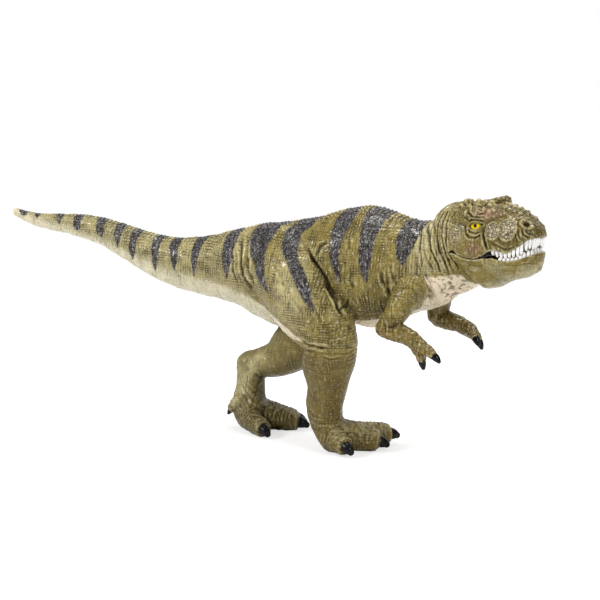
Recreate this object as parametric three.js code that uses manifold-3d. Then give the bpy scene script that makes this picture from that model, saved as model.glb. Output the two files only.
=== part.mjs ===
// A soft vinyl toy dinosaur that runs on two legs, with a lower jaw that opens on a hinge.
// Millimetres, +Z up, +X towards the snout, +Y towards the animal's left.
import * as THREE from "three";
import { mergeVertices } from "three/addons/utils/BufferGeometryUtils.js";
import Module from "manifold-3d";

const wasm = await Module();
wasm.setup();

// Driving sizes of the body
const spineLength = 256;      // tail tip to the front of the throat
const backHeight = 111.5;     // floor to the highest point of the back
const bodyWidth = 44;         // widest part of the trunk, without the thighs
const legHeight = 92;         // floor to the top of the thigh
const legSpread = 56;         // over the outer sides of both thighs
const armLength = 40;         // shoulder to claw
const toeLength = 30;         // ankle to the end of the middle toe

// Driving sizes of the head
const headLength = 54;        // back of the skull to the upper lip
const headHeight = 38;        // bottom of the jaw to the top of the skull
const headWidth = 29;         // over the cheeks
const headTurn = THREE.MathUtils.degToRad(-12);
const jawOpening = THREE.MathUtils.degToRad(25);
const jawWall = 3.4;
const jawClearance = 0.4;     // between the jaw and the skull all round
const jawRearReach = 6;         // how far the jaw's hollow runs out behind it
const sweepSteps = 4;

// Joints between the pieces
const gap = 0.3;              // between pieces that touch
const overrun = 2;            // how far a cutting shape runs past what it cuts
const tailPlugRadius = 7;
const tailPlugLength = 10;
const neckPlugRadius = 8.5;
const neckPlugLength = 10;
const kneePlugRadius = 5;
const kneePlugLength = 8;
const armPlugRadius = 3;
const armPlugLength = 7;
const pinRadius = 1.2;
const pinClearance = 0.1;     // round the pin, so that the jaw turns freely
const pinEndWall = 1.4;       // skin of the jaw's ear over the end of the pin

// Teeth, eyes and claws
const toothPitch = 2.75;
const toothRadius = 1.15;
const gumWidth = 1.5;
const gumHeight = 2.4;
const gumStep = 0.55;         // how far the gum stands out of the lip
const gumInset = 1.9;         // from the lip's outer side to the middle of the tooth row
const lipRoll = 7;            // part of the skull's and the jaw's rounding that the bite cuts off
const eyeLength = 6;
const eyeHeight = 4.6;
const eyeDepth = 5;
const toeClawLength = 5.2;
const toeClawRadius = 3;
const handClawLength = 2.9;
const handClawRadius = 1.75;
const clawRoot = 2.6;         // depth of the pocket that holds a claw

// How finely the surfaces are divided
const bodySides = 22;
const legSides = 14;
const limbSides = 12;
const smallSides = 7;
const domeSteps = 2;
const headSides = 20;
const bodyStations = 40;
const legStations = 18;
const footStations = 6;
const toeStations = 4;
const armStations = 6;
const clawStations = 4;
const skullStations = 22;
const jawStations = 14;
const browStations = 7;
const archStations = 24;

// Outline of the trunk, neck and tail: along, top, bottom as shares of the spine length and the
// back height, and half width as a share of the body width
const bodyShares = [
  [0.000, 0.882, 0.868, 0.022],
  [0.008, 0.885, 0.848, 0.045],
  [0.058, 0.872, 0.810, 0.066],
  [0.133, 0.880, 0.788, 0.095],
  [0.206, 0.873, 0.749, 0.136],
  [0.277, 0.839, 0.678, 0.186],
  [0.348, 0.811, 0.610, 0.234],
  [0.418, 0.822, 0.577, 0.280],
  [0.487, 0.856, 0.555, 0.330],
  [0.521, 0.875, 0.537, 0.370],
  [0.555, 0.897, 0.501, 0.410],
  [0.621, 0.919, 0.460, 0.460],
  [0.686, 0.954, 0.488, 0.490],
  [0.735, 0.990, 0.514, 0.500],
  [0.782, 1.002, 0.502, 0.498],
  [0.814, 0.985, 0.518, 0.480],
  [0.845, 0.966, 0.556, 0.445],
  [0.876, 0.954, 0.586, 0.395],
  [0.900, 0.972, 0.603, 0.350],
  [0.922, 1.020, 0.622, 0.322],
  [0.945, 1.045, 0.665, 0.308],
  [0.972, 1.050, 0.694, 0.300],
  [1.000, 1.040, 0.735, 0.280],
];
const bodyWaistShare = 0.47;  // height of the widest line between bottom and top
const bodyPowerShare = 2.15;
const tailSeamShare = 0.552;
const tailSeamUpShare = 0.7;
const neckSeamAlongShare = 0.9;
const neckSeamUpShare = 0.78;
const neckSeamTilt = THREE.MathUtils.degToRad(21);

// Leg outlines: forward from the hip, sideways, up, half size along the step, half size across.
// Sideways and across are shares of the leg spread, the others of the leg height.
const hipShare = 0.684;
const rightLegShares = [
  [-0.196, 0.180, 1.010, 0.110, 0.145],
  [-0.152, 0.232, 0.935, 0.175, 0.205],
  [-0.112, 0.277, 0.858, 0.201, 0.223],
  [-0.011, 0.321, 0.734, 0.187, 0.216],
  [0.094, 0.348, 0.636, 0.169, 0.207],
  [0.142, 0.357, 0.543, 0.137, 0.194],
  [0.124, 0.357, 0.435, 0.133, 0.186],
  [0.118, 0.348, 0.326, 0.102, 0.161],
  [0.100, 0.339, 0.228, 0.095, 0.146],
  [0.112, 0.330, 0.145, 0.082, 0.156],
  [0.150, 0.325, 0.080, 0.080, 0.165],
];
const leftThighShares = [
  [-0.185, -0.180, 1.000, 0.110, 0.145],
  [-0.141, -0.232, 0.913, 0.174, 0.205],
  [-0.120, -0.268, 0.815, 0.190, 0.214],
  [-0.109, -0.295, 0.696, 0.168, 0.214],
  [-0.114, -0.304, 0.587, 0.147, 0.196],
  [-0.124, -0.304, 0.530, 0.130, 0.180],
];
const leftCalfShares = [
  [-0.124, -0.304, 0.520, 0.133, 0.188],
  [-0.190, -0.295, 0.481, 0.139, 0.188],
  [-0.261, -0.277, 0.433, 0.138, 0.179],
  [-0.350, -0.259, 0.363, 0.101, 0.166],
  [-0.440, -0.235, 0.332, 0.082, 0.150],
  [-0.500, -0.220, 0.318, 0.076, 0.139],
];
const leftFootShares = [
  [-0.508, -0.215, 0.316, 0.074, 0.128],
  [-0.494, -0.175, 0.222, 0.076, 0.130],
  [-0.480, -0.115, 0.145, 0.088, 0.142],
  [-0.443, -0.060, 0.080, 0.096, 0.158],
];
const rightKneeShares = [0.142, 0.357, 0.552];
const rightKneeTilt = THREE.MathUtils.degToRad(2);
const leftKneeShares = [-0.141, -0.304, 0.511];
const leftKneeTilt = THREE.MathUtils.degToRad(25);

// Toes: forward from the ankle, sideways and up at the root, the middle and the end, then the
// radius at each, as shares of the toe length
const rightToes = {
  inner: { shares: [[0.03, -0.19, 0.25], [0.29, -0.44, 0.21], [0.50, -0.66, 0.19]],
    radiusShares: [0.22, 0.19, 0.17] },
  middle: { shares: [[0.05, -0.06, 0.26], [0.30, -0.18, 0.22], [0.48, -0.27, 0.18]],
    radiusShares: [0.25, 0.225, 0.195] },
  outer: { shares: [[-0.04, 0.06, 0.26], [0.11, 0.15, 0.21], [0.23, 0.21, 0.18]],
    radiusShares: [0.215, 0.19, 0.165] },
  spur: { shares: [[-0.12, -0.14, 0.48], [-0.20, -0.20, 0.47], [-0.26, -0.22, 0.40]],
    radiusShares: [0.13, 0.11, 0.09] },
};
const leftToes = {
  inner: { shares: [[-0.04, 0.10, 0.26], [0.16, 0.28, 0.18], [0.36, 0.41, 0.145]],
    radiusShares: [0.22, 0.18, 0.155] },
  middle: { shares: [[0.06, 0.00, 0.21], [0.37, -0.10, 0.19], [0.61, -0.17, 0.16]],
    radiusShares: [0.22, 0.20, 0.17] },
  outer: { shares: [[0.02, -0.20, 0.26], [0.24, -0.36, 0.19], [0.42, -0.48, 0.14]],
    radiusShares: [0.22, 0.18, 0.15] },
  spur: { shares: [[-0.12, 0.12, 0.44], [-0.20, 0.16, 0.43], [-0.26, 0.17, 0.36]],
    radiusShares: [0.13, 0.11, 0.09] },
};
const spurSizeShare = 0.5;
const clawDroopShare = 0.2;
const clawTaperShare = 0.52;
const clawRootShare = 0.8;
const clawSeatShare = 0.55;
const toothTaperShare = 0.85;

// Arms: forward from the shoulder, sideways, up, half size along and across, shares of the
// arm length
const shoulderAlongShare = 0.886;
const shoulderUpShare = 0.69;
const shoulderOutShare = 0.36;
const armShares = {
  right: {
    upper: [[-0.03, -0.02, 0.03, 0.180, 0.190], [-0.10, 0.09, -0.14, 0.152, 0.150],
      [-0.205, 0.145, -0.33, 0.126, 0.125], [-0.26, 0.155, -0.41, 0.118, 0.115]],
    fore: [[-0.26, 0.155, -0.41, 0.115, 0.115], [-0.12, 0.165, -0.44, 0.112, 0.110],
      [0.03, 0.18, -0.475, 0.102, 0.100], [0.19, 0.20, -0.57, 0.095, 0.090]],
    outer: [[0.19, 0.21, -0.57, 0.080, 0.070], [0.29, 0.225, -0.600, 0.066, 0.060],
      [0.350, 0.23, -0.640, 0.056, 0.052]],
    inner: [[0.14, 0.18, -0.58, 0.084, 0.074], [0.168, 0.165, -0.655, 0.072, 0.066],
      [0.180, 0.155, -0.710, 0.062, 0.058]],
  },
  left: {
    upper: [[-0.02, -0.02, 0.02, 0.190, 0.190], [-0.04, 0.03, -0.18, 0.155, 0.150],
      [-0.055, 0.045, -0.34, 0.135, 0.120], [-0.060, 0.045, -0.41, 0.125, 0.118]],
    fore: [[-0.045, 0.045, -0.43, 0.115, 0.112], [0.08, 0.04, -0.455, 0.112, 0.108],
      [0.22, 0.03, -0.485, 0.100, 0.098], [0.36, 0.02, -0.545, 0.090, 0.088]],
    outer: [[0.36, 0.03, -0.550, 0.074, 0.066], [0.415, 0.035, -0.590, 0.066, 0.060],
      [0.440, 0.04, -0.636, 0.060, 0.056]],
    inner: [[0.35, -0.02, -0.540, 0.070, 0.062], [0.42, -0.06, -0.555, 0.064, 0.058],
      [0.448, -0.075, -0.585, 0.058, 0.054]],
  },
};
const armPlugUpShare = -0.03;

// Head place, with the jaw's hinge as its zero
const hingeAlongShare = 0.9766;
const hingeUpShare = 0.843;
const hingeSideShare = -0.045;

// Skull: forward as a share of the head length, top and lip of the head height, half width of
// the head width
const skullShares = [
  [-0.310, 0.469, 0.057, 0.330],
  [-0.240, 0.566, 0.048, 0.430],
  [-0.130, 0.620, 0.045, 0.485],
  [0.000, 0.639, 0.036, 0.500],
  [0.090, 0.642, 0.000, 0.496],
  [0.177, 0.634, 0.000, 0.482],
  [0.255, 0.621, 0.053, 0.452],
  [0.322, 0.610, 0.118, 0.424],
  [0.390, 0.597, 0.108, 0.404],
  [0.450, 0.580, 0.095, 0.388],
  [0.510, 0.546, 0.136, 0.360],
  [0.568, 0.497, 0.203, 0.318],
  [0.617, 0.443, 0.260, 0.258],
  [0.648, 0.400, 0.276, 0.200],
  [0.669, 0.352, 0.280, 0.138],
  [0.681, 0.320, 0.284, 0.070],
];
const skullWaistShare = 0.34;
const skullPowerShare = 2.5;

// Ridge and horn over each eye: forward, outward and up, half height, half size across
const browShares = [
  [-0.04, 0.36, 0.469, 0.099, 0.072],
  [0.05, 0.40, 0.514, 0.121, 0.088],
  [0.15, 0.40, 0.537, 0.114, 0.088],
  [0.25, 0.34, 0.523, 0.085, 0.072],
  [0.36, 0.25, 0.500, 0.057, 0.056],
];
const hornShares = {
  right: [
    [0.130, 0.360, 0.500, 0.075, 0.096],
    [0.120, 0.450, 0.530, 0.060, 0.080],
    [0.107, 0.500, 0.526, 0.032, 0.050],
  ],
  left: [
    [0.152, 0.360, 0.560, 0.080, 0.115],
    [0.156, 0.450, 0.610, 0.065, 0.100],
    [0.158, 0.500, 0.645, 0.040, 0.070],
  ],
};

// Jaw: forward as a share of the head length, lip and bottom of the head height, half width of
// the head width
const jawShares = [
  [-0.085, 0.000, -0.043, 0.470],
  [-0.060, 0.043, -0.099, 0.488],
  [0.000, 0.034, -0.160, 0.496],
  [0.050, 0.009, -0.206, 0.494],
  [0.105, 0.000, -0.290, 0.486],
  [0.180, -0.006, -0.373, 0.470],
  [0.255, -0.009, -0.360, 0.440],
  [0.325, -0.009, -0.305, 0.412],
  [0.395, -0.006, -0.262, 0.388],
  [0.465, 0.009, -0.230, 0.360],
  [0.530, 0.028, -0.202, 0.322],
  [0.584, 0.060, -0.170, 0.272],
  [0.625, 0.088, -0.132, 0.214],
  [0.650, 0.105, -0.090, 0.150],
  [0.664, 0.111, -0.030, 0.080],
];
const jawWaistShare = 0.7;
const jawPowerShare = 2.7;
const jawFloorFrontShare = 0.19;
const jawFloorRearShare = 0.14;
const jawFloorShare = 0.092;
const jawHollowShare = 0.64;
const hollowWaistShare = 0.5;
const hollowPowerShare = 6;
const tongueShares = [
  [0.20, -0.080, -0.256, 0.150],
  [0.28, 0.010, -0.244, 0.210],
  [0.38, 0.060, -0.190, 0.220],
  [0.47, 0.095, -0.150, 0.200],
  [0.54, 0.120, -0.110, 0.150],
  [0.58, 0.105, -0.070, 0.080],
];
const tongueWaistShare = 0.5;
const tonguePowerShare = 2.4;
const eyeForwardShare = 0.17;
const eyeUpShare = 0.384;
const eyeOutShare = 0.372;
const upperRowShares = [0.33, 0.676];
const lowerRowShares = [0.48, 0.65];
const upperToothShares = { rear: 1, front: 0.6 };
const lowerToothShares = { rear: 0.12, front: 0.33 };
const toothProfileShares = [0, 0.6, 1];
const biteRearShare = -0.035;

const sideways = new THREE.Vector3(0, 1, 0);
const upward = new THREE.Vector3(0, 0, 1);

// One closed solid through a row of rings, with a fan on each end
function skin(rings) {
  const sides = rings[0].length;
  const points = rings.flat();
  const last = (rings.length - 1) * sides;
  const centres = points.length;
  points.push(middleOf(rings[0]), middleOf(rings[rings.length - 1]));
  const faces = [];
  for (let s = 0; s < sides; s++) {
    const next = (s + 1) % sides;
    for (let start = 0; start < last; start += sides) {
      faces.push(start + s, start + next, start + next + sides);
      faces.push(start + s, start + next + sides, start + s + sides);
    }
    faces.push(centres, next, s);
    faces.push(centres + 1, last + s, last + next);
  }
  const geometry = new THREE.BufferGeometry().setFromPoints(points);
  geometry.setIndex(faces);
  return geometry;
}

function middleOf(ring) {
  const sum = ring.reduce((total, point) => total.add(point), new THREE.Vector3());
  return sum.divideScalar(ring.length);
}

// A solid that can be cut and joined, from a closed mesh
function solid(geometry) {
  const bare = geometry.clone();
  bare.deleteAttribute("normal");
  bare.deleteAttribute("uv");
  const merged = mergeVertices(bare);
  const mesh = new wasm.Mesh({
    numProp: 3,
    vertProperties: merged.attributes.position.array,
    triVerts: new Uint32Array(merged.index.array),
  });
  return new wasm.Manifold(mesh);
}

function geometryOf(whole) {
  const { vertProperties, triVerts } = whole.getMesh();
  const geometry = new THREE.BufferGeometry();
  const positions = new THREE.BufferAttribute(new Float32Array(vertProperties), 3);
  geometry.setAttribute("position", positions);
  geometry.setIndex(new THREE.BufferAttribute(new Uint32Array(triVerts), 1));
  return geometry;
}

function moved(whole, matrix) {
  return solid(geometryOf(whole).applyMatrix4(matrix));
}

function joined(solids) {
  return solids.reduce((whole, piece) => whole.add(piece));
}

function without(whole, cutters) {
  return cutters.reduce((rest, cutter) => rest.subtract(cutter), whole);
}

// Rows of numbers read smoothly between the given ones
function smoothRows(rows, count) {
  const result = [];
  for (let step = 0; step < count; step++) {
    const place = step / (count - 1) * (rows.length - 1);
    const index = Math.min(Math.floor(place), rows.length - 2);
    const part = place - index;
    const before = rows[Math.max(index - 1, 0)];
    const here = rows[index];
    const next = rows[index + 1];
    const after = rows[Math.min(index + 2, rows.length - 1)];
    result.push(here.map((value, column) => {
      const slopeHere = (next[column] - before[column]) / 2;
      const slopeNext = (after[column] - value) / 2;
      const rise = next[column] - value;
      const square = 3 * rise - 2 * slopeHere - slopeNext;
      const cube = slopeHere + slopeNext - 2 * rise;
      return value + part * (slopeHere + part * (square + part * cube));
    }));
  }
  return result;
}

function scaled(rows, sizes) {
  return rows.map((row) => row.map((value, column) => value * sizes[column]));
}

// A ring across X: rounded, widest at its waist, more or less square by its power
function eggRing(along, top, bottom, halfWidth, waist, power, sides) {
  const middle = bottom + (top - bottom) * waist;
  const ring = [];
  for (let s = 0; s < sides; s++) {
    const angle = 2 * Math.PI * s / sides;
    const across = Math.sign(Math.cos(angle)) * Math.abs(Math.cos(angle)) ** (2 / power);
    const rise = Math.sign(Math.sin(angle)) * Math.abs(Math.sin(angle)) ** (2 / power);
    const reach = rise > 0 ? top - middle : middle - bottom;
    ring.push(new THREE.Vector3(along, halfWidth * across, middle + reach * rise));
  }
  return ring;
}

// A loft along X through rows of along, top, bottom and half width
function eggLoft(rows, waist, power, sides, extra = 0) {
  const rings = rows.map(([along, top, bottom, halfWidth]) => eggRing(
    along, top + extra, bottom - extra, halfWidth + extra, waist, power, sides));
  return skin(rings);
}

// A limb through rows of x, y, z, half size along and half size across, with domed ends
function limb(rows, sides, startDome, endDome, axis = sideways) {
  const rings = [];
  const places = rows.map(([x, y, z]) => new THREE.Vector3(x, y, z));
  const ringAt = (index, shift, shrink) => {
    const ahead = places[Math.min(index + 1, rows.length - 1)];
    const behind = places[Math.max(index - 1, 0)];
    const travel = ahead.clone().sub(behind).normalize();
    const across = axis.clone().addScaledVector(travel, -axis.dot(travel)).normalize();
    const along = travel.clone().cross(across);
    const centre = places[index].clone().addScaledVector(travel, shift);
    const ring = [];
    for (let s = 0; s < sides; s++) {
      const angle = 2 * Math.PI * s / sides;
      ring.push(centre.clone()
        .addScaledVector(across, Math.cos(angle) * rows[index][4] * shrink)
        .addScaledVector(along, Math.sin(angle) * rows[index][3] * shrink));
    }
    return ring;
  };
  const domeRings = (index, sign) => {
    const depth = (rows[index][3] + rows[index][4]) / 2;
    const dome = [];
    for (let step = 1; step <= domeSteps; step++) {
      const angle = Math.PI / 2 * step / (domeSteps + 0.5);
      dome.push(ringAt(index, sign * depth * Math.sin(angle), Math.cos(angle)));
    }
    return dome;
  };
  if (startDome) {
    rings.push(...domeRings(0, -1).reverse());
  }
  rows.forEach((row, index) => rings.push(ringAt(index, 0, 1)));
  if (endDome) {
    rings.push(...domeRings(rows.length - 1, 1));
  }
  return skin(rings);
}

// A round bar from a point along a direction
function bar(from, direction, radius, length) {
  const geometry = new THREE.CylinderGeometry(radius, radius, length, limbSides);
  geometry.translate(0, length / 2, 0);
  const turn = new THREE.Quaternion().setFromUnitVectors(sideways, direction);
  geometry.applyQuaternion(turn);
  geometry.translate(from.x, from.y, from.z);
  return solid(geometry);
}

// A block that fills the side of a plane that its normal points to
function halfSpace(point, normal) {
  const reach = spineLength * 2;
  const geometry = new THREE.BoxGeometry(reach, reach, reach);
  geometry.translate(0, 0, reach / 2);
  const turn = new THREE.Quaternion().setFromUnitVectors(upward, normal);
  geometry.applyQuaternion(turn);
  geometry.translate(point.x, point.y, point.z);
  return solid(geometry);
}

// A peg on one piece and its socket in the other, through a seam
function plug(point, direction, radius, length) {
  const start = point.clone().addScaledVector(direction, -overrun);
  return {
    peg: bar(start, direction, radius, overrun + length),
    socket: bar(start, direction, radius + gap, overrun + length + gap),
  };
}

// Split a solid at a plane, and leave a gap between the halves
function split(whole, point, normal) {
  const ahead = point.clone().addScaledVector(normal, gap / 2);
  const behind = point.clone().addScaledVector(normal, -gap / 2);
  return {
    front: whole.subtract(halfSpace(ahead, normal.clone().negate())),
    back: whole.subtract(halfSpace(behind, normal)),
  };
}

// A curved claw with its root in a pocket
function claw(at, direction, length, radius, extra = 0) {
  const rows = [];
  for (let step = 0; step <= clawStations; step++) {
    const share = step / clawStations;
    const point = at.clone().addScaledVector(direction, length * share);
    point.addScaledVector(upward, -length * clawDroopShare * share * share);
    const size = radius * (1 - clawTaperShare * share * (1 + share) / 2) + extra;
    rows.push([point.x, point.y, point.z, size, size]);
  }
  const root = at.clone().addScaledVector(direction, -clawRoot - extra);
  const rootSize = radius * clawRootShare + extra;
  rows.unshift([root.x, root.y, root.z, rootSize, rootSize]);
  return solid(limb(rows, smallSides, false, true));
}

// Body
const bodyRows = scaled(bodyShares, [spineLength, backHeight, backHeight, bodyWidth]);

function bodySolid(extra) {
  const rows = smoothRows(bodyRows, bodyStations);
  return solid(eggLoft(rows, bodyWaistShare, bodyPowerShare, bodySides, extra));
}

const tailSeam = new THREE.Vector3(spineLength * tailSeamShare, 0, backHeight * tailSeamUpShare);
const neckSeam = new THREE.Vector3(
  spineLength * neckSeamAlongShare, 0, backHeight * neckSeamUpShare);
const forward = new THREE.Vector3(1, 0, 0);
const neckForward = new THREE.Vector3(Math.cos(neckSeamTilt), 0, Math.sin(neckSeamTilt));

const hip = new THREE.Vector3(spineLength * hipShare, 0, 0);

// Leg rows from their shares, in the body's frame
function legRows(shares) {
  const sizes = [legHeight, -legSpread, legHeight, legHeight, legSpread];
  return scaled(shares, sizes).map(([x, ...rest]) => [x + hip.x, ...rest]);
}

function legPoint(shares) {
  return new THREE.Vector3(
    hip.x + shares[0] * legHeight, -shares[1] * legSpread, shares[2] * legHeight);
}

// A point of a foot, from the floor under its ankle
function toePoint(shares, ankle) {
  return new THREE.Vector3(
    ankle.x + shares[0] * toeLength, ankle.y - shares[1] * toeLength, shares[2] * toeLength);
}

function toeSolid(toe, ankle) {
  const rows = toe.shares.map((shares, index) => {
    const point = toePoint(shares, ankle);
    const radius = toe.radiusShares[index] * toeLength;
    return [point.x, point.y, point.z, radius, radius];
  });
  return solid(limb(smoothRows(rows, toeStations), limbSides, true, true));
}

// The place and aim of the claw at the end of a toe
function toeClaw(toe, ankle) {
  const end = toePoint(toe.shares[2], ankle);
  const direction = end.clone().sub(toePoint(toe.shares[1], ankle)).normalize();
  const radius = toe.radiusShares[2] * toeLength;
  return { at: end.addScaledVector(direction, radius * clawSeatShare), direction };
}

function footClaws(toes, ankle) {
  return Object.entries(toes).map(([name, toe]) => {
    const { at, direction } = toeClaw(toe, ankle);
    const size = name === "spur" ? spurSizeShare : 1;
    return { name, at, direction, length: toeClawLength * size, radius: toeClawRadius * size };
  });
}

const floorSlab = halfSpace(new THREE.Vector3(0, 0, 0), upward.clone().negate());

function clawSolid({ at, direction, length, radius }, extra = 0) {
  return claw(at, direction, length, radius, extra).subtract(floorSlab);
}

function lowerLeg(shinPart, toes, ankle, claws, peg) {
  const toeSolids = Object.values(toes).map((toe) => toeSolid(toe, ankle));
  const whole = joined([shinPart, ...toeSolids]).subtract(floorSlab);
  return without(whole, claws.map((one) => clawSolid(one, gap))).add(peg);
}

const rightAnkle = legPoint(rightLegShares[rightLegShares.length - 1]);
const leftAnkle = legPoint(leftFootShares[leftFootShares.length - 1]);
const rightClaws = footClaws(rightToes, rightAnkle);
const leftClaws = footClaws(leftToes, leftAnkle);

const rightKnee = legPoint(rightKneeShares);
const rightKneeUp = new THREE.Vector3(Math.sin(rightKneeTilt), 0, Math.cos(rightKneeTilt));
const rightLeg = solid(limb(smoothRows(legRows(rightLegShares), legStations), legSides, true, true));
const rightParts = split(rightLeg, rightKnee, rightKneeUp);
const rightKneePlug = plug(rightKnee, rightKneeUp, kneePlugRadius, kneePlugLength);

const leftKnee = legPoint(leftKneeShares);
const leftKneeUp = new THREE.Vector3(Math.sin(leftKneeTilt), 0, Math.cos(leftKneeTilt));
const leftThigh = solid(limb(smoothRows(legRows(leftThighShares), legStations / 2), legSides, true, true));
const leftCalf = solid(limb(smoothRows(legRows(leftCalfShares), legStations / 2), legSides, true, true));
const leftShank = solid(limb(smoothRows(legRows(leftFootShares), footStations), legSides, true, true));
const leftParts = split(joined([leftThigh, leftCalf]), leftKnee, leftKneeUp);
const leftKneePlug = plug(leftKnee, leftKneeUp, kneePlugRadius, kneePlugLength);

const tailPlug = plug(tailSeam, forward, tailPlugRadius, tailPlugLength);
const neckPlug = plug(neckSeam, neckForward.clone().negate(), neckPlugRadius, neckPlugLength);

// Arms, in the body's frame
function armRows(shares, side) {
  const sign = side === "right" ? -1 : 1;
  const shoulder = [
    spineLength * shoulderAlongShare,
    sign * bodyWidth * shoulderOutShare,
    backHeight * shoulderUpShare,
  ];
  const sizes = [armLength, sign * armLength, armLength, armLength, armLength];
  return scaled(shares, sizes).map((row) => row.map(
    (value, column) => (column < 3 ? value + shoulder[column] : value)));
}

function handClaws(side) {
  return ["outer", "inner"].map((name) => {
    const rows = armRows(armShares[side][name], side);
    const [before, end] = rows.slice(-2).map(([x, y, z]) => new THREE.Vector3(x, y, z));
    const direction = end.clone().sub(before).normalize();
    const at = end.addScaledVector(direction, rows[2][3] * clawSeatShare);
    return { name, at, direction, length: handClawLength, radius: handClawRadius };
  });
}

function armSolid(side, bodyWithGap, armPlug) {
  const shares = armShares[side];
  const parts = [
    limb(smoothRows(armRows(shares.upper, side), armStations), limbSides, true, true),
    limb(smoothRows(armRows(shares.fore, side), armStations), limbSides, true, true),
    limb(armRows(shares.outer, side), smallSides, true, true),
    limb(armRows(shares.inner, side), smallSides, true, true),
  ];
  const pockets = handClaws(side).map((one) => claw(
    one.at, one.direction, one.length, one.radius, gap));
  return without(joined(parts.map(solid)), [bodyWithGap, ...pockets]).add(armPlug.peg);
}

function armPlugOf(side) {
  const sign = side === "right" ? -1 : 1;
  const [x, y, z] = armRows([[0, 0, armPlugUpShare, 0, 0]], side)[0];
  const outer = new THREE.Vector3(x, y + sign * overrun, z);
  return plug(outer, new THREE.Vector3(0, -sign, 0), armPlugRadius, armPlugLength + overrun);
}

const armPlugs = { right: armPlugOf("right"), left: armPlugOf("left") };
const bodyWithGap = bodySolid(gap);

// Head, with the jaw's hinge as its zero
const hinge = new THREE.Vector3(
  spineLength * hingeAlongShare, bodyWidth * hingeSideShare, backHeight * hingeUpShare);
const headSizes = [headLength, headHeight, headHeight, headWidth];
const skullRows = scaled(skullShares, headSizes);
const jawRows = scaled(jawShares, headSizes);
const headPlace = new THREE.Matrix4().makeRotationZ(headTurn).setPosition(hinge);
const headPlaceBack = headPlace.clone().invert();

// A row's value at a place along the head
function valueAt(rows, along, column) {
  const index = Math.max(rows.findIndex((row) => row[0] > along) - 1, 0);
  const here = rows[index];
  const next = rows[index + 1];
  const part = (along - here[0]) / (next[0] - here[0]);
  return here[column] + (next[column] - here[column]) * part;
}

// Places of the teeth along a row, from the right rear round the front to the left rear
function archPoints(rows, column, [rearShare, frontShare]) {
  const outline = [];
  for (let step = 0; step <= archStations; step++) {
    const share = Math.sin(Math.PI / 2 * step / archStations);
    const along = headLength * (rearShare + (frontShare - rearShare) * share);
    const half = valueAt(rows, along, 3);
    outline.push(new THREE.Vector3(along, -half, 0));
  }
  const left = outline.slice(0, -1).map((point) => point.clone().setY(-point.y)).reverse();
  const curve = new THREE.CatmullRomCurve3([...outline, ...left]);
  const count = 2 * Math.round(curve.getLength() / toothPitch / 2) - 1;
  const points = [];
  for (let step = 0; step <= count; step++) {
    const point = curve.getPointAt(step / count);
    const tangent = curve.getTangentAt(step / count).setZ(0).normalize();
    const inward = upward.clone().cross(tangent);
    point.addScaledVector(inward, gumInset);
    point.setZ(valueAt(rows, point.x, column));
    points.push({ point, tangent, inward });
  }
  return points;
}

// The strip of gum that carries a row of teeth, let into the jaw
function gumStrip(arch, sign, extra) {
  const rings = arch.map(({ point, tangent, inward }, index) => {
    const isEnd = index === 0 || index === arch.length - 1;
    const stretch = isEnd ? extra * (index === 0 ? -1 : 1) : 0;
    const base = point.clone().addScaledVector(tangent, stretch);
    const half = gumWidth / 2 + extra;
    const low = -extra - gumStep;
    const high = gumHeight + extra;
    const corners = [[half, low], [half, high], [-half, high], [-half, low]];
    const ordered = sign > 0 ? corners : corners.map(([a, b]) => [a, -b]).reverse();
    return ordered.map(([across, rise]) => base.clone()
      .addScaledVector(inward, across).addScaledVector(upward, rise));
  });
  const geometry = skin(rings);
  return solid(geometry);
}

// One tooth: a rounded cone on the gum
function toothSolid({ point }, length, sign) {
  const profile = toothProfileShares.map((share) => new THREE.Vector2(
    toothRadius * Math.sqrt(1 - toothTaperShare * share * share), share * length));
  profile.unshift(new THREE.Vector2(0, 0));
  profile.push(new THREE.Vector2(0, length));
  const geometry = new THREE.LatheGeometry(profile, smallSides - 2);
  geometry.rotateX(sign * Math.PI / 2);
  geometry.translate(point.x, point.y, point.z);
  return solid(geometry);
}

const upperArch = archPoints(skullRows, 2, upperRowShares);
const lowerArch = archPoints(jawRows, 1, lowerRowShares);

// A row of teeth on its gum, clear of both lips
function toothRow(arch, sign, rowShares, lengthShares) {
  const [rear, front] = rowShares.map((share) => share * headLength);
  const teeth = arch.map((place) => {
    const share = (place.point.x - rear) / (front - rear);
    const space = valueAt(skullRows, place.point.x, 2) - valueAt(jawRows, place.point.x, 1);
    const length = space * THREE.MathUtils.lerp(lengthShares.rear, lengthShares.front, share);
    return toothSolid(place, length, sign);
  });
  const clear = joined(teeth)
    .subtract(lipBlock(skullRows, 2, -gap, 1))
    .subtract(lipBlock(jawRows, 1, jawClearance, -1));
  return clear.add(gumStrip(arch, -sign, 0));
}

// A block along the head that fills one side of a lip line
function lipBlock(rows, column, lift, direction) {
  const rings = rows.map((row) => {
    const near = row[column] + lift;
    const far = near + direction * headHeight;
    const [low, high] = direction > 0 ? [near, far] : [far, near];
    return [[headWidth, low], [headWidth, high], [-headWidth, high], [-headWidth, low]]
      .map(([across, rise]) => new THREE.Vector3(row[0], across, rise));
  });
  rings[0].forEach((point) => point.setX(point.x - overrun));
  rings[rings.length - 1].forEach((point) => point.setX(point.x + overrun));
  return solid(skin(rings));
}

// The jaw's outer shape, larger by an allowance
function jawOuter(extra) {
  const rows = smoothRows(jawRows, jawStations);
  rows[0][0] -= extra;
  rows[jawStations - 1][0] += extra;
  const shape = rows.map(([along, lip, bottom, half]) => [along, lip + lipRoll, bottom, half]);
  const whole = solid(eggLoft(shape, jawWaistShare, jawPowerShare, headSides, extra));
  return whole.subtract(lipBlock(rows, 1, extra, 1));
}

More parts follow.
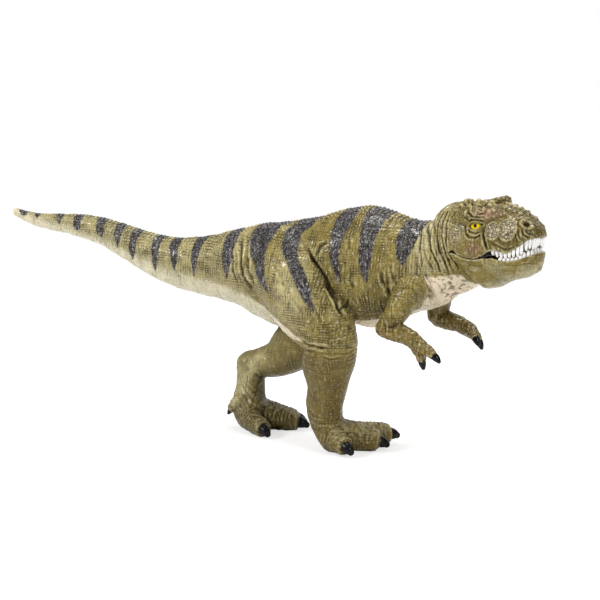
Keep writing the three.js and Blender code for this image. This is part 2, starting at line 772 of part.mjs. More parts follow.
// The skull above its lip line
function skullSolid() {
  const rows = smoothRows(skullRows, skullStations);
  const shape = rows.map(([along, top, lip, half]) => [along, top, lip - lipRoll, half]);
  const whole = solid(eggLoft(shape, skullWaistShare, skullPowerShare, bodySides));
  const bite = skullRows.filter(([along]) => along > headLength * biteRearShare);
  return whole.subtract(lipBlock(bite, 2, 0, -1));
}

// The hollow of the jaw, open above and behind, smaller by an allowance
function jawTrough(extra) {
  const floorRear = headLength * jawFloorRearShare;
  const floorFront = headLength * jawFloorFrontShare;
  const rows = jawRows.filter(([along]) => along < headLength * jawHollowShare);
  const hollow = rows.map(([along, top, bottom, half]) => {
    const blend = THREE.MathUtils.smoothstep(along, floorRear, floorFront);
    const floor = bottom + headHeight * jawFloorShare + extra;
    const low = THREE.MathUtils.lerp(-headHeight, floor, blend);
    return [along, headHeight / 2, low, half - jawWall - extra];
  });
  hollow.unshift([hollow[0][0] - jawRearReach, ...hollow[0].slice(1)]);
  return solid(eggLoft(hollow, hollowWaistShare, hollowPowerShare, limbSides));
}

function eyeBall(side, extra) {
  const sign = side === "right" ? -1 : 1;
  const geometry = new THREE.SphereGeometry(1, limbSides, smallSides);
  geometry.scale(eyeLength / 2 + extra, eyeDepth / 2 + extra, eyeHeight / 2 + extra);
  geometry.translate(
    headLength * eyeForwardShare, sign * headWidth * eyeOutShare, headHeight * eyeUpShare);
  return solid(geometry);
}

// The ridge over an eye
function browLimb(sign) {
  const rows = browShares.map(([along, out, rise, tall, wide]) => [
    along * headLength, sign * out * headWidth, rise * headHeight,
    tall * headHeight, wide * headWidth,
  ]);
  return solid(limb(smoothRows(rows, browStations), smallSides + 2, true, true));
}

// The blunt horn at the outer end of a ridge
function hornLimb(side) {
  const sign = side === "right" ? -1 : 1;
  const rows = hornShares[side].map(([along, out, rise, tall, wide]) => [
    along * headLength, sign * out * headWidth, rise * headHeight,
    tall * headHeight, wide * headWidth,
  ]);
  return solid(limb(rows, smallSides, true, true, forward));
}

// The pin through the throat and into the jaw's ears
const earHalf = valueAt(jawRows, 0, 3);
const pinHalf = earHalf - pinEndWall;

function pinBar(radius, half) {
  return bar(new THREE.Vector3(0, -half, 0), sideways, radius, half * 2);
}

function headSolid(neckPart) {
  const bumps = [browLimb(-1), browLimb(1), hornLimb("right"), hornLimb("left")];
  const whole = joined([neckPart, skullSolid(), ...bumps]);
  const jawTool = jawOuter(jawClearance).subtract(jawTrough(jawClearance));
  const sweep = [];
  for (let step = 0; step <= sweepSteps; step++) {
    const turn = new THREE.Matrix4().makeRotationY(jawOpening * step / sweepSteps);
    sweep.push(moved(jawTool, turn));
  }
  return without(whole, [
    joined(sweep),
    gumStrip(upperArch, 1, gap),
    eyeBall("right", gap),
    eyeBall("left", gap),
    pinBar(pinRadius + pinClearance, headWidth),
  ]);
}

function lowerJawSolid() {
  const holes = pinBar(pinRadius + pinClearance, pinHalf + gap);
  const body = jawOuter(0).subtract(jawTrough(0)).subtract(holes);
  return body.subtract(gumStrip(lowerArch, -1, gap));
}

// The tongue lies on the floor of the jaw's hollow
function tongueSolid() {
  const rows = scaled(tongueShares, headSizes);
  const whole = solid(eggLoft(rows, tongueWaistShare, tonguePowerShare, limbSides));
  return whole.intersect(jawTrough(gap));
}

// Materials
function material(color, roughness) {
  return new THREE.MeshStandardMaterial({ color, roughness, metalness: 0 });
}

function skinMaterial() {
  return material(0x6e6a35, 0.5);
}

function toothMaterial() {
  return material(0xeeeae2, 0.35);
}

function clawMaterial() {
  return material(0x1d1c20, 0.3);
}

function node(name, whole, ownMaterial) {
  const geometry = geometryOf(whole);
  geometry.computeVertexNormals();
  const mesh = new THREE.Mesh(geometry, ownMaterial);
  mesh.name = name;
  return mesh;
}

// Assembly
const body = bodySolid(0);
const tailCut = split(body, tailSeam, forward);
const neckCut = split(tailCut.front, neckSeam, neckForward);

const torso = without(joined([neckCut.back, rightParts.front, leftParts.front]), [
  tailPlug.socket, neckPlug.socket, rightKneePlug.socket, leftKneePlug.socket,
  armPlugs.right.socket, armPlugs.left.socket,
]);
const tail = tailCut.back.add(tailPlug.peg);
const neckInHead = moved(neckCut.front.add(neckPlug.peg), headPlaceBack);

const figure = new THREE.Group();
figure.add(node("torso", torso, skinMaterial()));
figure.add(node("tail", tail, skinMaterial()));
figure.add(node("right_lower_leg",
  lowerLeg(rightParts.back, rightToes, rightAnkle, rightClaws, rightKneePlug.peg),
  skinMaterial()));
figure.add(node("left_lower_leg",
  lowerLeg(leftParts.back.add(leftShank), leftToes, leftAnkle, leftClaws, leftKneePlug.peg),
  skinMaterial()));
for (const [side, claws] of [["right", rightClaws], ["left", leftClaws]]) {
  for (const one of claws) {
    figure.add(node(`${side}_foot_${one.name}_claw`, clawSolid(one), clawMaterial()));
  }
  figure.add(node(`${side}_arm`, armSolid(side, bodyWithGap, armPlugs[side]), skinMaterial()));
  for (const one of handClaws(side)) {
    const whole = claw(one.at, one.direction, one.length, one.radius);
    figure.add(node(`${side}_hand_${one.name}_claw`, whole, clawMaterial()));
  }
}

const head = new THREE.Group();
head.position.copy(hinge);
head.rotation.z = headTurn;
head.add(node("head", headSolid(neckInHead), skinMaterial()));
head.add(node("upper_teeth",
  toothRow(upperArch, -1, upperRowShares, upperToothShares), toothMaterial()));
head.add(node("jaw_pin", pinBar(pinRadius, pinHalf), material(0x8a8d90, 0.35)));
for (const side of ["right", "left"]) {
  head.add(node(`${side}_eye`, eyeBall(side, 0), material(0xd9b51c, 0.25)));
}
const jaw = new THREE.Group();
jaw.add(node("lower_jaw", lowerJawSolid(), skinMaterial()));
jaw.add(node("lower_teeth",
  toothRow(lowerArch, 1, lowerRowShares, lowerToothShares), toothMaterial()));
jaw.add(node("tongue", tongueSolid(), material(0x8a4a4c, 0.4)));
head.add(jaw);
figure.add(head);

// Zero is in the middle of the figure's box, on the floor
const box = new THREE.Box3().setFromObject(figure, true);
const centre = box.getCenter(new THREE.Vector3());
figure.position.set(-centre.x, -centre.y, -box.min.z);

const group = new THREE.Group();
group.add(figure);

export default group;
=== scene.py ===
"""The painted skin, teeth, eyes and claws of a soft vinyl toy dinosaur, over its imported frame.

Inside the file every shape is in millimetres from the tip of the tail: X to the snout, Y to the
animal's left, Z up from the floor. Shapes of the head are in millimetres from the jaw's hinge.
"""
import math

import bpy
import numpy as np
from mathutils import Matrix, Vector


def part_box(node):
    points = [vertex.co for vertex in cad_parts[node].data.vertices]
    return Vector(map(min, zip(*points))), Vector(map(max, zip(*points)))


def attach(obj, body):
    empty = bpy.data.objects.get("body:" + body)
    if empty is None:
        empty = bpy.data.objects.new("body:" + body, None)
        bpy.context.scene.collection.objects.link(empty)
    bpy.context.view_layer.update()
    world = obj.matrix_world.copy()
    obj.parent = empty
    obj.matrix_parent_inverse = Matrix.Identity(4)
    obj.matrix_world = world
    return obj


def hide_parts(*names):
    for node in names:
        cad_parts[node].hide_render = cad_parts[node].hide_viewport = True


bl_info = {
    "name": "Toy dinosaur figure",
    "version": (1, 0, 0),
    "blender": (4, 5, 0),
    "location": "3D View > Sidebar > Dinosaur",
    "description": "Painted skin, teeth, eyes and claws of a toy dinosaur",
    "category": "Object",
}

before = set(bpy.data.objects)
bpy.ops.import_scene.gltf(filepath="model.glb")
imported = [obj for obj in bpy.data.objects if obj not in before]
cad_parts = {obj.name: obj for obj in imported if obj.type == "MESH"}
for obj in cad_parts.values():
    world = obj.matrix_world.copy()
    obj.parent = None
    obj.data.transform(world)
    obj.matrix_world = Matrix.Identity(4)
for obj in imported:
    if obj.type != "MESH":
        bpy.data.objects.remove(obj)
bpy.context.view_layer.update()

# Paint masks that every piece of skin carries; the light and shade masks are painted highlight and
# painted shade
MASKS = ("stripe", "cream", "pink", "light", "shade", "grey", "brown", "rosy", "maroon", "scaly",
         "pebble", "groove", "raised", "gloss")

MM = 0.001  # metres in a millimetre
TAIL_LOW, TAIL_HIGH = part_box("tail")
PLACE = np.array([TAIL_LOW.x, (TAIL_LOW.y + TAIL_HIGH.y) / 2, 0]) / MM

# Lengths, heights and widths of the figure
SPINE = 256.0
BACK = 111.5
WIDTH = 44.0
LEG = 92.0
SPREAD = 56.0
ARM = 40.0
TOE = 30.0
HEAD = 54.0
HEAD_TALL = 38.0
HEAD_WIDE = 29.0
HEAD_TURN = math.radians(-12)
OPENING = math.radians(25)
HINGE = np.array([SPINE * 0.9766, WIDTH * -0.045, BACK * 0.843])
SIDES = ((-1, "right"), (1, "left"))

# Room in a seam, then the depth and the half sizes of the blocks that cut there
SEAM = 0.12
CUT_DEEP = 40.0
BODY_CUT = (28, 32)
KNEE_CUT = (15, 19)
SHIN_CUT = (26, 32)

# Room round the swinging jaw, thickness of its floor, space between teeth, their way in from the
# lip's edge, and where the chest starts that cuts the arms
JAW_ROOM = 0.4
JAW_FLOOR = HEAD_TALL * 0.092
TOOTH_PITCH = 1.9
GUM = 1.9
CHEST_START = 184.5


def paint(red, green, blue):
    """A colour as a paint chart gives it, 0 to 255, made linear for the shader."""
    chart = np.array([red, green, blue]) / 255
    linear = np.where(chart > 0.04045, ((chart + 0.055) / 1.055) ** 2.4, chart / 12.92)
    return tuple(float(value) for value in linear)


# Outlines: along, top, bottom, half width
TRUNK_ROWS = np.array([
    [0.000, 0.882, 0.868, 0.022], [0.008, 0.885, 0.848, 0.045], [0.058, 0.872, 0.810, 0.066],
    [0.133, 0.880, 0.788, 0.095], [0.206, 0.873, 0.749, 0.136], [0.277, 0.839, 0.678, 0.186],
    [0.348, 0.811, 0.610, 0.234], [0.418, 0.822, 0.577, 0.280], [0.487, 0.856, 0.555, 0.330],
    [0.521, 0.875, 0.537, 0.370], [0.555, 0.897, 0.501, 0.410], [0.621, 0.919, 0.460, 0.460],
    [0.686, 0.954, 0.488, 0.490], [0.735, 0.990, 0.514, 0.500], [0.782, 1.002, 0.502, 0.498],
    [0.814, 0.985, 0.518, 0.480], [0.845, 0.966, 0.556, 0.445], [0.876, 0.954, 0.586, 0.395],
    [0.900, 0.972, 0.603, 0.350], [0.922, 1.020, 0.622, 0.322], [0.945, 1.045, 0.665, 0.308],
    [0.972, 1.050, 0.694, 0.300], [1.000, 1.040, 0.735, 0.280],
]) * [SPINE, BACK, BACK, WIDTH]
HIP = SPINE * 0.684

# Legs: forward of the hip, to the right, up, half size along, half size across
RIGHT_LEG = np.array([
    [-0.196, 0.180, 1.010, 0.110, 0.145], [-0.152, 0.232, 0.935, 0.175, 0.205],
    [-0.112, 0.277, 0.858, 0.201, 0.223], [-0.011, 0.321, 0.734, 0.187, 0.216],
    [0.094, 0.348, 0.636, 0.169, 0.207], [0.142, 0.357, 0.543, 0.137, 0.194],
    [0.124, 0.357, 0.435, 0.133, 0.186], [0.118, 0.348, 0.326, 0.102, 0.161],
    [0.100, 0.339, 0.228, 0.095, 0.146], [0.112, 0.330, 0.145, 0.082, 0.156],
    [0.150, 0.325, 0.080, 0.080, 0.165],
])
LEFT_THIGH = np.array([
    [-0.185, -0.180, 1.000, 0.110, 0.145], [-0.141, -0.232, 0.913, 0.174, 0.205],
    [-0.120, -0.268, 0.815, 0.190, 0.214], [-0.109, -0.295, 0.696, 0.168, 0.214],
    [-0.114, -0.304, 0.587, 0.147, 0.196], [-0.124, -0.304, 0.530, 0.130, 0.180],
])
LEFT_CALF = np.array([
    [-0.124, -0.304, 0.520, 0.133, 0.188], [-0.190, -0.295, 0.481, 0.139, 0.188],
    [-0.261, -0.277, 0.433, 0.138, 0.179], [-0.350, -0.259, 0.363, 0.101, 0.166],
    [-0.440, -0.235, 0.332, 0.082, 0.150], [-0.500, -0.220, 0.318, 0.076, 0.139],
])
LEFT_FOOT = np.array([
    [-0.508, -0.215, 0.316, 0.074, 0.128], [-0.494, -0.175, 0.222, 0.076, 0.130],
    [-0.480, -0.115, 0.145, 0.088, 0.142], [-0.443, -0.060, 0.080, 0.096, 0.158],
])
RIGHT_KNEE = (np.array([0.142, 0.357, 0.552]), math.radians(2))
LEFT_KNEE = (np.array([-0.141, -0.304, 0.511]), math.radians(25))

# Toes: forward, to the right and up at the root, the middle and the end, and the radii
TOES = {
    "right": {
        "inner": ([[0.03, -0.19, 0.25], [0.29, -0.44, 0.21], [0.50, -0.66, 0.19]],
                  [0.22, 0.19, 0.17]),
        "middle": ([[0.05, -0.06, 0.26], [0.30, -0.18, 0.22], [0.48, -0.27, 0.18]],
                   [0.25, 0.225, 0.195]),
        "outer": ([[-0.04, 0.06, 0.26], [0.11, 0.15, 0.21], [0.23, 0.21, 0.18]],
                  [0.215, 0.19, 0.165]),
        "spur": ([[-0.12, -0.14, 0.48], [-0.20, -0.20, 0.47], [-0.26, -0.22, 0.40]],
                 [0.13, 0.11, 0.09]),
    },
    "left": {
        "inner": ([[-0.04, 0.10, 0.26], [0.16, 0.28, 0.18], [0.36, 0.41, 0.145]],
                  [0.22, 0.18, 0.155]),
        "middle": ([[0.06, 0.00, 0.21], [0.37, -0.10, 0.19], [0.61, -0.17, 0.16]],
                   [0.22, 0.20, 0.17]),
        "outer": ([[0.02, -0.20, 0.26], [0.24, -0.36, 0.19], [0.42, -0.48, 0.14]],
                  [0.22, 0.18, 0.15]),
        "spur": ([[-0.12, 0.12, 0.44], [-0.20, 0.16, 0.43], [-0.26, 0.17, 0.36]],
                 [0.13, 0.11, 0.09]),
    },
}

# Arms from the shoulder: forward, outward, up, half size along, half size across
SHOULDER = np.array([0.886, 0.36, 0.69]) * [SPINE, WIDTH, BACK]
ARMS = {
    "right": {
        "upper": [[-0.03, -0.02, 0.03, 0.180, 0.190], [-0.10, 0.09, -0.14, 0.152, 0.150],
                  [-0.205, 0.145, -0.33, 0.126, 0.125], [-0.26, 0.155, -0.41, 0.118, 0.115]],
        "fore": [[-0.26, 0.155, -0.41, 0.115, 0.115], [-0.12, 0.165, -0.44, 0.112, 0.110],
                 [0.03, 0.18, -0.475, 0.102, 0.100], [0.19, 0.20, -0.57, 0.095, 0.090]],
        "outer": [[0.19, 0.21, -0.57, 0.080, 0.070], [0.29, 0.225, -0.600, 0.066, 0.060],
                  [0.350, 0.23, -0.640, 0.056, 0.052]],
        "inner": [[0.14, 0.18, -0.58, 0.084, 0.074], [0.168, 0.165, -0.655, 0.072, 0.066],
                  [0.180, 0.155, -0.710, 0.062, 0.058]],
    },
    "left": {
        "upper": [[-0.02, -0.02, 0.02, 0.190, 0.190], [-0.04, 0.03, -0.18, 0.155, 0.150],
                  [-0.055, 0.045, -0.34, 0.135, 0.120], [-0.060, 0.045, -0.41, 0.125, 0.118]],
        "fore": [[-0.045, 0.045, -0.43, 0.115, 0.112], [0.08, 0.04, -0.455, 0.112, 0.108],
                 [0.22, 0.03, -0.485, 0.100, 0.098], [0.36, 0.02, -0.545, 0.090, 0.088]],
        "outer": [[0.36, 0.03, -0.550, 0.074, 0.066], [0.415, 0.035, -0.590, 0.066, 0.060],
                  [0.440, 0.04, -0.636, 0.060, 0.056]],
        "inner": [[0.35, -0.02, -0.540, 0.070, 0.062], [0.42, -0.06, -0.555, 0.064, 0.058],
                  [0.448, -0.075, -0.585, 0.058, 0.054]],
    },
}

# Head: along from the hinge, top, lip, half width
SKULL = np.array([
    [-0.310, 0.469, 0.057, 0.330], [-0.240, 0.556, 0.048, 0.430], [-0.130, 0.607, 0.045, 0.485],
    [0.000, 0.610, 0.036, 0.500], [0.090, 0.603, 0.000, 0.496], [0.177, 0.598, 0.000, 0.482],
    [0.255, 0.600, 0.053, 0.452], [0.322, 0.596, 0.118, 0.424], [0.390, 0.585, 0.108, 0.404],
    [0.450, 0.570, 0.095, 0.388], [0.510, 0.540, 0.136, 0.360], [0.568, 0.493, 0.203, 0.318],
    [0.617, 0.441, 0.260, 0.258], [0.648, 0.400, 0.276, 0.200], [0.669, 0.352, 0.280, 0.138],
    [0.681, 0.320, 0.284, 0.070],
]) * [HEAD, HEAD_TALL, HEAD_TALL, HEAD_WIDE]
JAW = np.array([
    [-0.085, 0.000, -0.043, 0.470], [-0.060, 0.043, -0.099, 0.488],
    [0.000, 0.034, -0.160, 0.496], [0.050, 0.009, -0.206, 0.494],
    [0.105, -0.002, -0.290, 0.486], [0.180, -0.004, -0.373, 0.470],
    [0.255, 0.018, -0.360, 0.440], [0.325, 0.030, -0.305, 0.412],
    [0.395, 0.008, -0.262, 0.388], [0.465, 0.009, -0.230, 0.360],
    [0.530, 0.028, -0.202, 0.322], [0.584, 0.060, -0.170, 0.272],
    [0.625, 0.088, -0.132, 0.214], [0.650, 0.105, -0.090, 0.150],
    [0.664, 0.111, -0.030, 0.080],
]) * [HEAD, HEAD_TALL, HEAD_TALL, HEAD_WIDE]
BROW = np.array([
    [-0.04, 0.36, 0.437, 0.099, 0.072], [0.05, 0.40, 0.482, 0.121, 0.088],
    [0.15, 0.40, 0.503, 0.114, 0.088], [0.25, 0.34, 0.490, 0.085, 0.072],
    [0.36, 0.25, 0.474, 0.057, 0.056],
]) * [HEAD, HEAD_WIDE, HEAD_TALL, HEAD_TALL, HEAD_WIDE]
HORNS = {
    "right": np.array([
        [0.130, 0.360, 0.500, 0.075, 0.096], [0.120, 0.450, 0.530, 0.060, 0.080],
        [0.107, 0.500, 0.526, 0.032, 0.050],
    ]) * [HEAD, -HEAD_WIDE, HEAD_TALL, HEAD_TALL, HEAD_WIDE],
    "left": np.array([
        [0.152, 0.360, 0.555, 0.080, 0.105], [0.156, 0.420, 0.595, 0.062, 0.085],
        [0.158, 0.470, 0.620, 0.045, 0.065],
    ]) * [HEAD, HEAD_WIDE, HEAD_TALL, HEAD_TALL, HEAD_WIDE],
}
# Ridge that climbs over the skull to the far horn: along, sideways, up and two half sizes
RIDGE = np.array([
    [0.5, 1.5, 21.6, 1.7, 1.5], [4.5, 5.5, 22.7, 1.7, 1.6], [7.5, 9.0, 23.55, 1.7, 1.7],
    [8.8, 11.4, 23.75, 1.7, 1.7],
])
LIP_ROLL = 7.0
EYE = np.array([0.17 * HEAD, 0.372 * HEAD_WIDE, 0.384 * HEAD_TALL])

# Stripes on one side, as outlines along and up; they go over the back to the other side
STRIPES = [
    [(3, 110), (9, 110), (9.5, 96), (7, 95.5), (4, 97)],
    [(11, 110), (17, 110), (17, 97), (15.5, 95), (13.5, 96.5)],
    [(25, 110), (31, 110), (31, 97.5), (29.5, 92.5), (27.5, 95)],
    [(35.5, 110), (43, 110), (43, 97), (42, 91.5), (40, 90.5), (38, 92.5)],
    [(48, 110), (55, 110), (56, 96), (57, 91), (55.5, 88), (52.5, 91)],
    [(61, 110), (67, 110), (67.5, 94), (67, 88), (65.3, 84), (64, 88), (62.5, 93)],
    [(70.5, 110), (76.5, 110), (76.5, 92), (76.5, 84), (74.6, 78.5), (73, 83), (72, 90)],
    [(82.5, 110), (88.5, 110), (89.5, 90), (90, 80), (88.3, 74), (86.5, 79), (85, 87)],
    [(92, 110), (98, 110), (100, 89), (101.5, 81), (99.8, 75.5), (98, 80), (95, 87)],
    [(106.5, 110), (114, 110), (114.5, 92), (113.5, 83), (111.3, 73.5), (109.8, 81), (108, 89)],
    [(125, 112), (132.5, 112), (133.5, 96), (133.5, 84), (131, 74.5), (128.5, 81), (126.5, 91)],
    [(140, 116), (158, 116), (158.5, 101), (155.5, 95), (154, 90), (156, 85), (157, 80),
     (159.5, 72), (154.5, 76), (149.5, 81), (144.5, 87), (141.5, 95)],
    [(160.5, 118), (172.5, 118), (174, 103), (169.5, 98.5), (172.5, 90), (177, 84), (180.5, 77),
     (185, 66), (178.5, 71), (173, 79), (168.5, 87), (162.5, 94), (162, 99)],
    [(185, 120), (194.5, 120), (195.5, 108), (193, 98), (192.5, 88), (194.5, 78), (191.5, 82),
     (187.5, 90), (186.5, 98)],
    [(198, 120), (209, 120), (210, 108), (208.5, 99), (208, 89), (206.2, 79), (202.5, 88),
     (201.5, 99)],
    [(218.5, 124), (228.5, 124), (228, 105), (225.5, 95), (222.8, 88), (219.5, 92), (217.5, 99)],
]

# Creases: points along and up, half width, depth. The first list is on both sides.
CREASES = [
    ([(185, 97), (182.5, 94.5), (180.5, 90)], 0.8, 0.9),
    ([(196, 99), (197, 94)], 0.5, 0.5),
    ([(196, 90), (195.6, 84)], 0.5, 0.6),
    ([(199, 84), (199, 81), (200.5, 77)], 0.5, 0.6),
    ([(197, 73), (195, 67)], 0.6, 0.5),
    ([(203, 86), (203.5, 80), (205, 74)], 0.4, 0.3),
    ([(212.5, 87), (213.5, 82), (216, 78), (216.5, 74)], 0.7, 0.8),
    ([(216, 83), (217, 75)], 0.6, 0.7),
    ([(217, 91), (217, 86), (222, 78)], 0.6, 0.5),
    ([(217, 77), (220, 72), (217, 67), (209, 62)], 1.0, 0.8),
    ([(232, 88), (234, 81), (234, 75), (231, 71)], 1.0, 0.9),
    ([(130, 97), (132.5, 88), (135, 79), (139, 72)], 0.6, 0.4),
    ([(136, 96), (138.5, 87), (141.5, 78), (147, 71)], 0.8, 0.7),
    ([(139, 97), (141.5, 89), (143.5, 80), (151, 73)], 0.7, 0.6),
    ([(133, 92), (134, 85), (136, 77)], 0.6, 0.4),
    ([(143.5, 94), (145, 88), (148, 81), (154, 75)], 0.6, 0.4),
    ([(223, 82), (227, 78), (231, 75)], 0.5, 0.5),
    ([(231, 74), (226, 72.5), (223, 74)], 0.5, 0.5),
    ([(224, 110), (228.5, 101), (230.5, 92), (231, 86)], 0.6, 0.5),
    ([(227, 112), (232, 102), (234.5, 93), (235, 84)], 0.7, 0.7),
    ([(229.5, 114), (235, 104), (238, 94), (238.5, 84), (237, 77)], 0.7, 0.8),
    ([(232, 116), (238, 107), (241.5, 96), (241.5, 86), (240, 80)], 0.7, 0.8),
]
RIGHT_CREASES = [
    ([(174, 95), (178, 90), (182.5, 85), (187.5, 78), (193, 70), (198, 63)], 0.5, 1.2),
    ([(177, 92), (184, 84), (190, 75), (197, 65)], 2.2, 0.55),
    ([(160, 88), (166, 80), (174, 71), (181, 63)], 0.5, 0.35),
    ([(172, 84), (178, 76), (184, 69), (189, 60)], 0.5, 0.35),
    ([(184, 61), (188, 58), (194, 58), (199, 61)], 0.4, 0.3),
    ([(182, 57), (187, 54), (194, 54.5), (200, 57)], 0.4, 0.3),
    ([(176, 53.5), (181, 50.8), (187, 50), (192, 50.5)], 0.6, 0.9),
    ([(188, 46.5), (193, 45.5), (198, 47)], 0.4, 0.3),
    ([(179, 20), (184, 17), (190, 17)], 0.4, 0.3),
    ([(179.5, 16.5), (185, 13.5), (192, 14)], 0.4, 0.3),
]
LEFT_CREASES = [
    ([(168, 98), (175, 92), (180, 84), (182, 75), (181, 66), (178, 58)], 0.7, 1.5),
    ([(150, 60), (156, 55), (164, 52), (174, 53)], 0.6, 0.5),
    ([(136, 38), (144, 37), (153, 41), (161, 44)], 1.3, 0.4),
]


# Shapes

def smooth_rows(rows, count):
    """Rows read between the given ones on a cubic through them: at share t between two rows the
    value is h + t (s + t (a + t b)), where s is half the rise over both neighbours."""
    rows = np.asarray(rows, float)
    place = np.linspace(0, len(rows) - 1, count)
    index = np.minimum(place.astype(int), len(rows) - 2)
    share = (place - index)[:, None]
    here, ahead = rows[index], rows[index + 1]
    slope = (ahead - rows[np.maximum(index - 1, 0)]) / 2
    slope_ahead = (rows[np.minimum(index + 2, len(rows) - 1)] - here) / 2
    rise = ahead - here
    square = 3 * rise - 2 * slope - slope_ahead
    cube = slope + slope_ahead - 2 * rise
    return here + share * (slope + share * (square + share * cube))


def closed(grid):
    """A grid of rings made a closed skin: four-sided faces between rings, a fan at each end."""
    rings, sides = grid.shape[:2]
    points = np.concatenate([grid.reshape(-1, 3), grid[:1].mean(1), grid[-1:].mean(1)])
    side = np.arange(sides)
    ahead = (side + 1) % sides
    start = (np.arange(rings - 1) * sides)[:, None]
    low = np.stack([start + side, start + ahead, start + ahead + sides], -1).reshape(-1, 3)
    high = np.stack([start + side, start + ahead + sides, start + side + sides], -1).reshape(-1, 3)
    last = (rings - 1) * sides
    centre = rings * sides
    first = np.stack([np.full(sides, centre), ahead, side], -1)
    final = np.stack([np.full(sides, centre + 1), last + side, last + ahead], -1)
    return points, np.concatenate([low, high, first, final])


def egg(rows, waist, power, sides, extra=0.0):
    """Rings across X. At angle a a ring is half width * cos(a)^(2/power) to the side, and
    sin(a)^(2/power) of the way from its waist line to its top or bottom."""
    along, top, bottom, half = (column[:, None] for column in np.asarray(rows, float).T)
    top, bottom, half = top + extra, bottom - extra, half + extra
    angle = np.linspace(0, 2 * np.pi, sides, endpoint=False)
    across = np.sign(np.cos(angle)) * np.abs(np.cos(angle)) ** (2 / power)
    rise = np.sign(np.sin(angle)) * np.abs(np.sin(angle)) ** (2 / power)
    middle = bottom + (top - bottom) * waist
    height = middle + np.where(rise > 0, top - middle, middle - bottom) * rise
    return np.stack([along + 0 * across, half * across, height], -1)


def limb(rows, sides, ends=(True, True), axis=(0, 1, 0)):
    """Rings along a path: at angle a a ring is half size across * cos(a) along the axis made
    square to the path, and half size along * sin(a) along their cross product. A rounded end
    goes on by depth * sin(b) in seven rings, and shrinks by cos(b)."""
    dome = 7
    rows = np.asarray(rows, float)
    place = rows[:, :3]
    travel = np.gradient(place, axis=0)
    travel /= np.linalg.norm(travel, axis=1)[:, None]
    across = np.asarray(axis, float) - travel * (travel @ np.asarray(axis, float))[:, None]
    across /= np.linalg.norm(across, axis=1)[:, None]
    along = np.cross(travel, across)
    angle = np.linspace(0, 2 * np.pi, sides, endpoint=False)[:, None]

    def rings(index, shift, shrink):
        centre = place[index] + travel[index] * shift[:, None]
        wide = across[index] * (rows[index, 4] * shrink)[:, None]
        tall = along[index] * (rows[index, 3] * shrink)[:, None]
        return centre[:, None] + np.cos(angle) * wide[:, None] + np.sin(angle) * tall[:, None]

    every = np.arange(len(rows))
    parts = [rings(every, np.zeros(len(rows)), np.ones(len(rows)))]
    bend = np.pi / 2 * np.arange(1, dome + 1) / (dome + 0.5)
    if ends[0]:
        depth = rows[0, 3:5].mean()
        parts.insert(0, rings(np.zeros(dome, int), -depth * np.sin(bend), np.cos(bend))[::-1])
    if ends[1]:
        depth = rows[-1, 3:5].mean()
        parts.append(rings(np.full(dome, len(rows) - 1), depth * np.sin(bend), np.cos(bend)))
    return np.concatenate(parts)


def ball(centre, radii, sides=24):
    """An ellipsoid: each radius times the sine and cosine of its two angles."""
    down = np.linspace(0, np.pi, sides // 2 + 2)[1:-1][:, None]
    angle = np.linspace(0, 2 * np.pi, sides, endpoint=False)
    x = np.sin(down) * np.cos(angle)
    y = np.sin(down) * np.sin(angle)
    z = -np.cos(down) + 0 * angle
    return np.stack([x, y, z], -1) * radii + centre


def trunk_part(low=-math.inf, high=math.inf, extra=0.0):
    """Rings of the trunk and tail between two places along them. Their waist line is 0.47 of the
    way up, and their power is 2.15."""
    rows = smooth_rows(TRUNK_ROWS, 260)
    rows = rows[(rows[:, 0] > low) & (rows[:, 0] < high)]
    return egg(rows, 0.47, 2.15, 120, extra)


def seam_cut(point, keep, wide, tall):
    """A block that takes away all that lies behind a seam, seen from the side to keep: its face is
    half the seam's room inside that side."""
    face, ahead = point + keep * SEAM / 2, -keep
    across = np.array([0, 1.0, 0]) - ahead * ahead[1]
    across /= np.linalg.norm(across)
    up = np.cross(ahead, across)
    corners = np.array([[1, -1], [1, 1], [-1, 1], [-1, -1]])
    ring = face + corners[:, :1] * wide * across + corners[:, 1:] * tall * up
    return closed(np.stack([ring, ring + ahead * CUT_DEEP]))


def turned(points, angle, axis):
    """Points turned about an axis through the zero: 1 is Y, 2 is Z."""
    cosine, sine = math.cos(angle), math.sin(angle)
    x, y, z = points[..., 0], points[..., 1], points[..., 2]
    if axis == 1:
        return np.stack([cosine * x + sine * z, y, cosine * z - sine * x], -1)
    return np.stack([cosine * x - sine * y, sine * x + cosine * y, z], -1)


def to_figure(points):
    """From the head's own place to the figure's: turned by the head's angle, set on the hinge."""
    return turned(points, HEAD_TURN, 2) + HINGE


def head_part(shape):
    """A closed skin taken from the head's own place to the figure's."""
    points, triangles = shape
    return to_figure(points), triangles


def to_head(points):
    """From the figure's place to the head's own."""
    return turned(points - HINGE, -HEAD_TURN, 2)


# Meshes

def joined(shapes):
    """Several closed skins as one list of points and faces."""
    starts = np.cumsum([0] + [len(points) for points, _ in shapes])
    return (np.concatenate([points for points, _ in shapes]),
            np.concatenate([faces + start for (_, faces), start in zip(shapes, starts)]))


def rough_object(shapes):
    """A passing object that holds closed skins, in millimetres."""
    points, faces = joined(shapes)
    mesh = bpy.data.meshes.new("rough")
    mesh.from_pydata(points, [], faces)
    mesh.update()
    item = bpy.data.objects.new("rough", mesh)
    bpy.context.scene.collection.objects.link(item)
    return item


def read_back(item):
    """Points and triangles of an object as its modifiers leave it."""
    graph = bpy.context.evaluated_depsgraph_get()
    mesh = item.evaluated_get(graph).to_mesh()
    points = np.empty(len(mesh.vertices) * 3)
    mesh.vertices.foreach_get("co", points)
    mesh.calc_loop_triangles()
    triangles = np.empty(len(mesh.loop_triangles) * 3, np.int32)
    mesh.loop_triangles.foreach_get("vertices", triangles)
    item.evaluated_get(graph).to_mesh_clear()
    return points.reshape(-1, 3), triangles.reshape(-1, 3)


def discard(*items):
    """Removes passing objects with their meshes."""
    for item in items:
        mesh = item.data
        bpy.data.objects.remove(item)
        bpy.data.meshes.remove(mesh)


